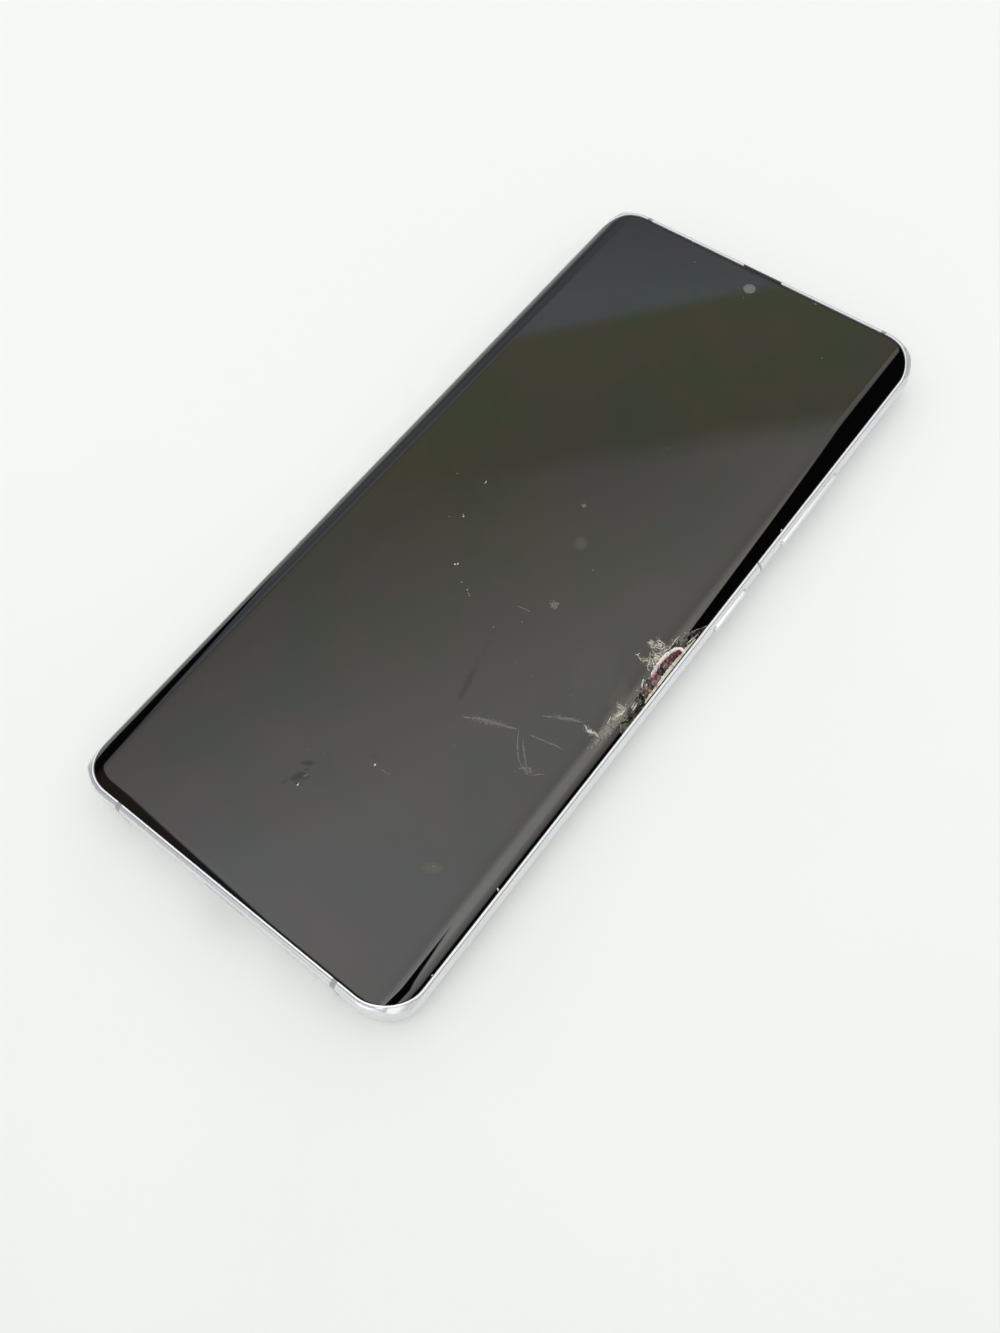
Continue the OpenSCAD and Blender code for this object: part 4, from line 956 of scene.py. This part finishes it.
# Lines become flat-lying slivers: evenly spaced points wander sideways, and both ends run thin
def sliverTree():
    tree, add, given = startTree("glassSlivers", Step=0.12 * mm, Wander=0.1 * mm, Grain=0.5 * mm,
                                 Flatness=0.12, Seed=1, Finish=None)
    curve = add("GeometryNodeMeshToCurve", [given["Geometry"]])
    curve = add("GeometryNodeResampleCurve", {"Curve": curve, "Length": given["Step"]}, mode="LENGTH")
    spot = add("GeometryNodeInputPosition")
    noiseSockets = {"Vector": spot, "W": given["Seed"], "Scale": add("Math/DIVIDE", [1.0, given["Grain"]])}
    width, wander = [add("GeometryNodeInputNamedAttribute", {"Name": label}, data_type="FLOAT")
                     for label in ("width", "wander")]
    cloud = add("TexNoise", {**noiseSockets, "Detail": 2.0}, "Color", noise_dimensions="4D")
    push = add("VectorMath/SUBTRACT", [cloud, (0.5, 0.5, 0.5)])
    push = add("VectorMath/MULTIPLY", [push, (1, 1, 0)])
    reach = add("Math/MULTIPLY", [wander, given["Wander"]])
    push = add("VectorMath/SCALE", {0: push, "Scale": reach})
    curve = add("GeometryNodeSetPosition", {"Geometry": curve, "Offset": push})
    curve = add("GeometryNodeSetCurveNormal", {"Curve": curve}, mode="Z_UP")
    along = add("GeometryNodeSplineParameter", out="Factor")
    hump = add("Math/SINE", [add("Math/MULTIPLY", [along, math.pi])])
    fat = add("MapRange", [add("TexNoise", noiseSockets, noise_dimensions="4D"), 0.3, 0.7, 0.35, 1.3])
    radius = add("Math/MULTIPLY", [add("Math/POWER", [hump, 0.6]), fat])
    radius = add("Math/MAXIMUM", [add("Math/MULTIPLY", [width, radius]), 0.01 * mm])
    outline = add("GeometryNodeCurvePrimitiveCircle", {"Resolution": 6, "Radius": 0.5})
    squat = add("CombineXYZ", [1.0, given["Flatness"], 1.0])
    outline = add("GeometryNodeTransform", {"Geometry": outline, "Scale": squat})
    tube = add("GeometryNodeCurveToMesh", {"Curve": curve, "Profile Curve": outline, "Scale": radius,
                                           "Fill Caps": True})
    endTree(add, tube, given["Finish"])
    return tree


# Loose mesh with a number stored at each point
def strewnMesh(name, points, edges, **stored):
    mesh = bpy.data.meshes.new(name)
    mesh.from_pydata([(x * mm, y * mm, 0) for x, y in points], edges, [])
    for label, values in stored.items():
        mesh.attributes.new(label, "FLOAT", "POINT").data.foreach_set("value", values)
    return mesh


# Threads as edges of one mesh, each point with its thread's width and wander
def lineMesh(name, threads):
    points, edges, widths, wanders = [], [], [], []
    for width, wander, line in threads:
        edges += [(len(points) + i, len(points) + i + 1) for i in range(len(line) - 1)]
        points += line
        widths += [width * mm] * len(line)
        wanders += [wander] * len(line)
    return strewnMesh(name, points, edges, width=widths, wander=wanders)


# Lays a flat mesh on the glass, level with it at z = 0
def layOnGlass(mesh, lift):
    for vertex in mesh.vertices:
        x, y = vertex.co.x / mm, vertex.co.y / mm
        vertex.co.z = min(vertex.co.z + (glassHeight(x, y) + lift) * mm, glassHigh[2] * mm)
    for name in ("width", "wander", "size"):
        if name in mesh.attributes:
            mesh.attributes.remove(mesh.attributes[name])


# Glass powder in a crack or a scuff: rough and without any mirror, chalky where it lies thick
def powderFinish(name, light, dark):
    material, add, shader, coords = startMaterial(name, Roughness=0.55, IOR=1.5)
    grit = grainNoise(add, coords, 0.3, 3)
    feed(shader, Base_Color=blendTones(add, grit, 0.38, 0.62, light, dark),
         Normal=add("Bump", {"Height": grit, "Strength": 0.5, "Distance": 0.04 * mm}))
    return material


# fresh powder in the cracks is nearly white, a scuffed surface only greyer than the glass
whitePowder = powderFinish("glassPowderWhite", "#D8D5C8", "#8E8C7E")
greyScuff = powderFinish("glassScuffGrey", "#6B6A65", "#565652")
slivers = sliverTree()
for name, key, finish, grain, flatness in (("crackThreads", "whiteThreads", whitePowder, 0.45, 0.16),
                                           ("hairScratches", "greyThreads", greyScuff, 1.1, 0.03)):
    threads = runTree(name, lineMesh(name, marks[key]), slivers, Step=marks["step"] * mm,
                      Wander=marks["wander"] * mm, Grain=grain * mm, Flatness=flatness, Seed=marks["seed"],
                      Finish=finish)
    layOnGlass(threads.data, marks["lift"])
    finishPiece(threads, "phone", "front_glass")
    print("marks:", name, len(threads.data.polygons), "faces")

# Chips and crumbs
flakes = {
    "seed": 23,
    "height": 0.16,        # share of a flake's size
    # x, y, size; in millimetres
    "white": [(-13.11, -1.31, .6), (-13.4, -1.05, .45), (-7.85, -10.36, .42), (-7.5, -10.0, .5),
              (-4.47, -12.6, .32), (-2.64, -13.24, .36), (-2.25, -59.54, .42), (-2.3, -59.25, .36),
              (5.98, -49.02, .55), (34.69, -11.56, .4), (35.6, -53.3, .55), (35.72, -70.2, .45),
              (35.7, 30.7, .5), (-16.8, 79.85, .45), (32.2, -4.5, .6), (32.7, -4.3, .7), (33.05, -4.7, .7),
              (32.9, -5.2, .6), (32.4, -5.0, .6), (32.75, -4.8, .8), (31.5, -2.3, .5), (31.9, -2.4, .6),
              (31.6, -2.7, .5), (30.05, -3.0, .4), (31.2, -3.4, .35), (31.3, -22.85, .6),
              (31.75, -22.7, .7), (32.2, -22.6, .5), (32.7, -22.65, .45), (33.2, -3.7, .45),
              (33.3, -6.3, .4), (32.9, -16.2, .4), (34.1, -12.4, .3)],
    "grey": [(-15.3, -2.85, .5), (-1.62, -13.97, .7), (-1.95, -13.7, .5), (3.83, 13.52, .9),
             (3.4, 13.4, .5), (11.99, -6.67, 1.0), (12.35, -6.2, .8), (11.6, -6.9, .6), (9.46, -12.77, .4),
             (5.96, -16.53, .5), (13.3, 3.18, .4), (-2.36, -57.58, .7), (-2.15, -57.25, .5),
             (7.78, -49.01, .3), (9.03, -48.85, .4), (-5.33, -53.8, .3), (-2.34, -52.49, .5),
             (14.58, -38.42, .4), (24.9, -19.21, .4), (12.99, 79.2, .7), (-20.2, 5.6, .35),
             (13.6, -19.7, .3), (17.3, -20.1, .3), (21.3, 68.0, .4), (-13.1, 75.3, .4), (25.7, -36.05, .35),
             (25.2, -56.8, .5), (25.7, -57.2, .4), (0.3, 72.7, .4)],
    "crumbs": 90,         # small ones strewn round the break, and how they lie
    "crumbMiddle": 34.0,
    "crumbEdge": 35.6,
    "crumbRows": (-19, 4),
    "crumbReach": 0.7,
    "crumbSize": (0.12, 0.3),
}


# Each point gets one faceted flake, turned and sized at random
def flakeTree():
    tree, add, given = startTree("glassFlakes", Height=0.16, Seed=1, Finish=None)
    flake = add("GeometryNodeMeshIcoSphere", {"Radius": 0.5, "Subdivisions": 1})
    squat = add("CombineXYZ", [1.0, 0.7, given["Height"]])
    flake = add("GeometryNodeTransform", {"Geometry": flake, "Scale": squat})
    turn, vary = [add("FunctionNodeRandomValue", {0: low, 1: high, "Seed": given["Seed"]},
                      data_type="FLOAT_VECTOR")
                  for low, high in (((-0.15, -0.15, 0.0), (0.15, 0.15, 6.28)),
                                    ((0.7, 0.7, 0.7), (1.3, 1.1, 1.1)))]
    size = add("GeometryNodeInputNamedAttribute", {"Name": "size"}, data_type="FLOAT")
    full = add("VectorMath/SCALE", {0: vary, "Scale": size})
    strewn = add("GeometryNodeInstanceOnPoints", {"Points": given["Geometry"], "Instance": flake,
                                                  "Rotation": turn, "Scale": full})
    endTree(add, strewn, given["Finish"])
    return tree


# Small crumbs thrown along the broken edge, fewer the farther from it
def crumbSpots():
    pick = random.Random(flakes["seed"])
    spots = []
    while len(spots) < flakes["crumbs"]:
        x, y = flakes["crumbMiddle"] + pick.gauss(0, 1.0), pick.uniform(*flakes["crumbRows"])
        reach = farFrom(x, y, breakLine[3:-3])
        if x < flakes["crumbEdge"] and reach < abs(pick.gauss(0, flakes["crumbReach"])):
            spots.append((x, y, pick.uniform(*flakes["crumbSize"])))
    return spots


flaking = flakeTree()
crumbs = crumbSpots()
for name, spots, finish in (("glassChips", flakes["white"] + crumbs[::2], whitePowder),
                            ("dullChips", flakes["grey"] + crumbs[1::2], greyScuff)):
    mesh = strewnMesh(name, [spot[:2] for spot in spots], [], size=[size * mm for x, y, size in spots])
    strewn = runTree(name, mesh, flaking, Height=flakes["height"], Seed=flakes["seed"], Finish=finish)
    layOnGlass(strewn.data, marks["lift"])
    finishPiece(strewn, "phone", "front_glass")
    print("chips:", name, len(strewn.data.polygons), "faces")

# The front camera's lens under the display: its rings as radius and height above the glass
eye = {"x": 0.0, "y": 75.35, "depth": 0.05, "pupil": 1.5,
       "rings": [(0.02, 0.028), (0.6, 0.026), (0.95, 0.02), (1.16, 0.012), (1.24, 0.0)]}


# Circle of points; with a height they lie in space
def ringAt(x, y, radius, *height, steps=48):
    turns = [2 * math.pi * i / steps for i in range(steps)]
    return [(x + radius * math.cos(turn), y + radius * math.sin(turn), *height) for turn in turns]


# Turned shape about an upright axis, capped at both ends or closed into a ring
def turned(name, x, y, profile, hoop=False):
    mesh = loft(name, [ringAt(x, y, radius, height) for radius, height in profile], hoop)
    cleanMesh(mesh, 30)
    return mesh


# Clear disc of the front camera seen through the glass: a smooth grey spot, hardly lighter in its middle
def eyeFinish():
    material, add, shader, coords = startMaterial("coatedLensDisc", Roughness=0.25, IOR=1.5)
    pupil = softSpot(add, coords, eye["x"], eye["y"], eye["pupil"], eye["pupil"])
    colour = add("Mix", {0: pupil, 6: "#646464", 7: "#6C6C6D"}, 2, **inColour)
    cloud = grainNoise(add, coords, 0.8, 2)
    feed(shader, Base_Color=blendTones(add, cloud, 0.4, 0.7, colour, "#565657", 0.35))
    return material


top = glassHeight(eye["x"], eye["y"])
eyeProfile = [(r, top + h) for r, h in eye["rings"]] + [(r, top - eye["depth"]) for r in (1.24, 0.02)]
cameraEye = newObject("cameraEye", turned("cameraEye", eye["x"], eye["y"], eyeProfile), eyeFinish())
finishPiece(cameraEye, "phone", "lens_glass")
print("front camera's eye ready")

rearSide = {
    "opening": (18.5, 59.75, 21.58, 31.58, 4.8),   # middle, width, length, corner radius of the rim's hole
    "openingHeights": (-1, 3.2),
    "windowRadius": 4.65,
    "holeHeights": (-1, 3),
    # name, x, y, radius of the clear opening, radius of the lens element, the optic's front, its body
    "lenses": [("main", 12.9, 68.25, 3.75, 1.9, 1.75, "focus_barrel"),
               ("wide", 12.9, 52.15, 3.1, 1.3, 0.62, "phone"),
               ("zoom", 24.3, 60.35, 3.1, 1.1, 0.62, "phone")],
    "flash": (24.7, 71.25, 1.75),
    # profiles as distance in from the clear opening and height; a centre point stands at 0.02 mm
    "cover": [(0.36, 0.16), (0.3, 0.2), (0.3, 0.3)],
    "ring": [(0.03, 0.12), (0.1, 0.05), (0.2, 0.05), (0.28, 0.12), (0.28, 0.5), (0.03, 0.5)],
    "baffle": {"inset": 0.45, "front": 0.52, "back": 0.88, "foot": 0.92, "steps": 4, "mainMouth": 2.7},
    "domeTurns": (0.3, 0.6, 0.9, 1.2, 1.5),
    # radius and height
    "barrel": [(3.4, 1.5), (3.3, 1.4), (2.9, 1.4), (2.8, 1.5), (2.8, 1.7), (2.5, 1.7), (2.5, 1.85),
               (2.2, 1.85), (2.2, 2.0), (1.92, 2.0), (1.92, 2.3), (0.02, 2.3), (0.02, 4.9), (3.3, 4.9),
               (3.4, 4.8)],
    "flashRidges": 12,
}


def rearHeight(x, y):
    return rearLow[2] + glassHigh[2] - glass["sink"] - glassHeight(x, y)


def rearNormal(x, y):
    n = glassNormal(x, y)
    return Vector((n.x, n.y, -n.z))


# Frosted glass over a silver colour film: an even pearl-grey satin with a very fine sparkle
def frostedGlass():
    material, add, shader, coords = startMaterial("frostedGlassSilverFilm", Roughness=0.38, IOR=1.5)
    cloud, sparkle = grainNoise(add, coords, 25, 3), grainNoise(add, coords, 0.15, 2)
    colour = blendTones(add, cloud, 0.35, 0.65, "#CBCED2", "#C6C9CD")
    feed(shader, Base_Color=blendTones(add, sparkle, 0.6, 0.75, colour, "#E3E6EA", 0.5),
         Roughness=add("MapRange", [cloud, 0.3, 0.7, 0.32, 0.44]),
         Normal=add("Bump", {"Height": sparkle, "Strength": 0.12, "Distance": 0.01 * mm}))
    return material


def buildRearGlass():
    piece = newObject("rearGlass", glassShell("rearGlass", rearHeight, rearNormal))
    opening = roundedRectangle(*rearSide["opening"])
    cutWith(piece, newObject("rimCutter", prism("rimCutter", opening, *rearSide["openingHeights"])))
    setMaterials(piece, frostedGlass())
    polishNormals(piece.data, rearHeight, rearNormal, -1)
    finishPiece(piece, "phone", "rear_glass", "rear_glass")


# Two tones of one real finish with its grain, roughness and relief at real sizes
def twoTone(name, light, dark, metallic, roughLow, roughHigh, grain, stretch=(1, 1, 1), bump=0.2):
    material, add, shader, coords = startMaterial(name, Metallic=metallic)
    fine, broad = grainNoise(add, coords, grain, 2, stretch), grainNoise(add, coords, grain * 14, 2)
    colour = blendTones(add, fine, 0.3, 0.7, light, dark, 0.6)
    feed(shader, Base_Color=blendTones(add, broad, 0.4, 0.65, colour, dark, 0.4),
         Roughness=add("MapRange", [fine, 0.3, 0.7, roughLow, roughHigh]))
    if bump:
        feed(shader, Normal=add("Bump", {"Height": fine, "Strength": bump, "Distance": grain * 0.1 * mm}))
    return material


# polished aluminium: bright, with fine marks along one way
polishedRim = twoTone("polishedAluminiumRim", "#DCDEE1", "#CFD2D6", 1.0, 0.1, 0.18, 0.3, (4, 1, 1), 0.05)
# black print under glass: deep and glossy, without relief
blackPrint = twoTone("blackPrintedGlass", "#050506", "#08080A", 0.0, 0.03, 0.06, 0.6, bump=0)
# blackened barrel: dull, so that nothing glints behind a lens
lensBlack = twoTone("blackLensBarrel", "#0B0B0C", "#131315", 0.0, 0.35, 0.5, 0.2)
# moulded resin over the flash: creamy, with a soft gloss
flashResin = twoTone("mouldedFlashLens", "#F1EBCF", "#E2D8B0", 0.0, 0.15, 0.25, 0.4)


# Optical glass with a dark interference coating: deep violet in the middle, green towards its edge
def coatedOptic(name, x, y, radius):
    material, add, shader, coords = startMaterial(name, Roughness=0.02, IOR=1.6, Coat_Weight=0.6,
                                                  Coat_Roughness=0.03)
    middle = softSpot(add, coords, x, y, radius * 1.7, radius * 1.7, soft=0.7)
    edge = blendTones(add, grainNoise(add, coords, 2.0, 1), 0.3, 0.7, "#06241F", "#0A1C2E")
    feed(shader, Base_Color=add("Mix", {0: middle, 6: edge, 7: "#1A0A2E"}, 2, **inColour))
    return material


# Clear cover glass: polished, with a faint smudge
def clearGlass():
    material, add, shader, coords = startMaterial("clearCoverGlass", Roughness=0.02, IOR=1.45,
                                                  Transmission_Weight=1.0)
    smudge = grainNoise(add, coords, 1.5, 3)
    feed(shader, Base_Color=add("Mix", {0: smudge, 6: "#FFFFFF", 7: "#F2F6FA"}, 2, **inColour),
         Roughness=add("MapRange", [smudge, 0.45, 0.8, 0.01, 0.06]))
    return material


def buildWindow():
    low, high = [[c / mm for c in corner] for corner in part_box("camera_window")]
    outline = roundedRectangle((low[0] + high[0]) / 2, (low[1] + high[1]) / 2, high[0] - low[0],
                               high[1] - low[1], rearSide["windowRadius"])
    piece = newObject("cameraWindow", prism("cameraWindow", outline, low[2], high[2]))
    for x, y, radius in [row[1:4] for row in rearSide["lenses"]] + [rearSide["flash"]]:
        hole = prism("lensCutter", ringAt(x, y, radius), *rearSide["holeHeights"])
        cutWith(piece, newObject("lensCutter", hole))
    setMaterials(piece, blackPrint)
    bevelEdges(piece, 0.06, 2, 40)
    cleanMesh(piece.data, 35)
    finishPiece(piece, "phone", "lens_glass", "camera_window")


def turnedPiece(name, x, y, profile, material, body, slot, *stoodFor, hoop=False):
    finishPiece(newObject(name, turned(name, x, y, profile, hoop), material), body, slot, *stoodFor)


# Cover disc, polished ring and stepped baffle of each lens, and the optic behind them
def buildLenses():
    clear, baffle = clearGlass(), rearSide["baffle"]
    for label, x, y, radius, optic, front, body in rearSide["lenses"]:
        cover = [(radius - inset, z) for inset, z in rearSide["cover"]]
        turnedPiece(label + "LensCover", x, y, [(0.02, cover[0][1])] + cover + [(0.02, cover[-1][1])], clear,
                    "phone", "lens_glass")
        ring = [(radius - inset, z) for inset, z in rearSide["ring"]]
        turnedPiece(label + "LensRing", x, y, ring, polishedRim, "phone", "rim_metal", hoop=True)
        mouth = baffle["mainMouth"] if label == "main" else optic + 0.15
        wide, deep = radius - baffle["inset"], baffle["back"] - baffle["front"]
        profile = [(radius - 0.04, baffle["front"]), (wide, baffle["front"])]
        for i in range(1, baffle["steps"] + 1):
            z = baffle["front"] + deep * i / baffle["steps"]
            profile += [(profile[-1][0], z), (wide - (wide - mouth) * i / baffle["steps"], z)]
        profile += [(mouth, baffle["foot"]), (radius - 0.04, baffle["foot"])]
        turnedPiece(label + "LensBaffle", x, y, profile, lensBlack, "phone", "barrel", hoop=True)
        dome = [(optic * math.sin(a), front + 0.3 * (1 - math.cos(a))) for a in rearSide["domeTurns"]]
        dome = [(0.02, front)] + dome + [(optic, front + 0.34), (0.02, front + 0.34)]
        turnedPiece(label + "LensOptic", x, y, dome, coatedOptic(label + "LensCoating", x, y, optic), body,
                    "lens_glass")
    x, y = rearSide["lenses"][0][1:3]
    turnedPiece("focusBarrel", x, y, rearSide["barrel"], lensBlack, "focus_barrel", "barrel",
                "main_camera_lens", hoop=True)
    x, y, radius = rearSide["flash"]
    count = rearSide["flashRidges"]
    ridges = [(max(radius * 0.95 * i / count, 0.02), 0.3 + 0.07 * (i % 2)) for i in range(count)]
    turnedPiece("flashCover", x, y, ridges + [(radius - 0.05, 0.34), (radius - 0.05, 0.88), (0.02, 0.88)],
                flashResin, "phone", "flash")


buildRearGlass()
smoothCopy("camera_rim", "cameraRim", "rim_metal", polishedRim, 30, 0.2)
buildWindow()
buildLenses()
print("rear glass, camera rim and lenses ready")


# Fine wire cloth: square mesh of the given pitch, drawn as light wires over dark gaps
def wireCloth(name, pitch, light, dark):
    material, add, shader, coords = startMaterial(name, Metallic=1.0, Roughness=0.4)
    waves = [add("Math/SINE", [add("Math/MULTIPLY", [way, 2 * math.pi / (pitch * mm)])])
             for way in add("SeparateXYZ", [coords]).node.outputs]
    weave = add("Math/MAXIMUM", [waves[0], add("Math/MAXIMUM", waves[1:])])
    feed(shader, Base_Color=blendTones(add, weave, 0, 1, dark, light),
         Normal=add("Bump", {"Height": weave, "Strength": 0.6, "Distance": 0.05 * mm}))
    return material


# Flat coil of enamelled wire: one ring for each turn, round the coil's middle
def coilWire(name, node, pitch, light, dark):
    material, add, shader, coords = startMaterial(name, Metallic=1.0, Roughness=0.3)
    middle = [(a + b) / 2 for a, b in zip(*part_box(node))]
    away = add("VectorMath/MULTIPLY", [add("VectorMath/SUBTRACT", [coords, middle]), (1, 1, 0)])
    reach = add("VectorMath/LENGTH", [away], "Value")
    turns = add("Math/SINE", [add("Math/MULTIPLY", [reach, 2 * math.pi / (pitch * mm)])])
    feed(shader, Base_Color=blendTones(add, turns, -1, 1, dark, light),
         Normal=add("Bump", {"Height": turns, "Strength": 0.7, "Distance": 0.1 * mm}))
    return material


# name, light and dark tone, metallic, roughness range, grain in mm, stretch, bump, nodes
insideFinishes = [
    # glass-filled polymer moulded into the frame: even pale grey, duller than the metal beside it
    ("mouldedAntennaPolymer", "#A3A6A4", "#989B99", 0.0, 0.38, 0.5, 0.4, (1, 1, 1), 0.15, ["antenna_bands"]),
    # laminated display with black film behind it: nearly black, faintly red
    ("laminatedDisplayPanel", "#14090B", "#0C0A0A", 0.0, 0.2, 0.35, 2.0, (1, 1, 1), 0.05, ["display_panel"]),
    # rolled foil: warm, with fine lines along the rolling direction
    ("rolledCopperFoil", "#B8765A", "#A4654B", 1.0, 0.28, 0.42, 0.3, (6, 0.5, 1), 0.15, ["display_backing"]),
    # acrylic foam tape: cream and dull
    ("acrylicFoamBead", "#B5B29C", "#A09C85", 0.0, 0.7, 0.85, 0.3, (1, 1, 1), 0.4,
     ["display_adhesive", "rear_adhesive", "battery_adhesive"]),
    # polyimide ribbon: amber with a soft gloss and faint tracks
    ("polyimideRibbon", "#9A6420", "#83521A", 0.0, 0.22, 0.34, 0.35, (5, 0.3, 1), 0.1,
     ["display_flex", "battery_flex", "main_flex", "key_flex"]),
    # transfer-moulded epoxy: black, very finely matt
    ("mouldedEpoxyPackage", "#141416", "#1C1C1F", 0.0, 0.45, 0.6, 0.15, (1, 1, 1), 0.3,
     ["fingerprint_reader", "light_sensor", "processor", "memory_chips"]),
    # glass-filled nylon: black with a slightly mottled skin
    ("glassFilledNylon", "#101012", "#19191B", 0.0, 0.5, 0.65, 0.3, (1, 1, 1), 0.3,
     ["earpiece", "main_camera", "wide_camera", "zoom_camera", "upper_bracket", "port_tongue",
      "speaker_box"]),
    # pressed graphite foil: dark grey with a soft sheen
    ("graphiteSheet", "#3A3A3C", "#2F2F31", 0.3, 0.38, 0.5, 1.0, (1, 1, 1), 0.15,
     ["heat_spreader", "charging_sheet"]),
    # moulded silicone over a lamp: cream and waxy
    ("mouldedSiliconeLens", "#EFE6C4", "#DCCF9E", 0.0, 0.25, 0.4, 0.5, (1, 1, 1), 0.1, ["flash_lens"]),
    # solder mask over glass-fibre board: deep green, smooth gloss
    ("solderMaskBoard", "#0F3D2E", "#0A2E24", 0.0, 0.28, 0.4, 0.6, (1, 1, 1), 0.1,
     ["main_board", "lower_board"]),
    # stamped stainless sheet: bright with drawn lines
    ("stampedStainless", "#B9B9B5", "#A7A7A3", 1.0, 0.26, 0.4, 0.25, (5, 0.6, 1), 0.12,
     ["board_shields", "sim_reader", "charging_port", "speaker_driver", "motor_case", "key_bracket"]),
    # moulded silicone rubber: dark red, soft and dull
    ("mouldedSiliconeRubber", "#6E1114", "#590D10", 0.0, 0.5, 0.62, 0.4, (1, 1, 1), 0.15,
     ["sim_tray_seal", "port_seal"]),
    # gold plating on nickel: yellow with a satin gloss
    ("goldPlating", "#C9A050", "#B78E42", 1.0, 0.22, 0.34, 0.2, (1, 1, 1), 0.1,
     ["microphones", "key_switches"]),
    # aluminium pouch laminate with a dark coat: soft gloss, slightly dented
    ("laminatedPouch", "#2A2A2C", "#353537", 0.5, 0.34, 0.48, 1.5, (1, 1, 1), 0.25, ["battery"]),
    # extruded fluoropolymer sheath: pale and waxy
    ("coaxSheath", "#D8D8D6", "#C9C9C6", 0.0, 0.35, 0.45, 0.3, (1, 1, 1), 0.1, ["antenna_cable"]),
    # sintered tungsten: dark grey and granular
    ("sinteredTungsten", "#4C4C4E", "#3C3C3E", 0.9, 0.48, 0.6, 0.12, (1, 1, 1), 0.4, ["motor_mass"]),
    # zinc-plated steel: grey with fine turning marks
    ("zincPlatedSteel", "#77777A", "#66666A", 1.0, 0.3, 0.42, 0.2, (1, 1, 1), 0.2, ["screws"]),
]


def assignFinish(node, material):
    mesh = nodes[node].data
    if not mesh.materials:
        mesh.materials.append(material)
    for i in range(len(mesh.materials)):
        mesh.materials[i] = material


for *values, members in insideFinishes:
    finish = twoTone(*values)
    for node in members:
        assignFinish(node, finish)
assignFinish("front_camera", lensBlack)
assignFinish("charging_coil", coilWire("enamelledCopperWire", "charging_coil", 0.6, "#B5683F", "#7C4226"))
clothFinish = wireCloth("blackWireCloth", 0.3, "#2C2C2E", "#0A0A0B")
for node in ("earpiece_mesh", "speaker_mesh"):
    assignFinish(node, clothFinish)
smoothCopy("sim_tray", "simTray", "frame_metal", frameFinish)
print("inside finishes:", sum(len(row[-1]) for row in insideFinishes) + 4, "nodes")
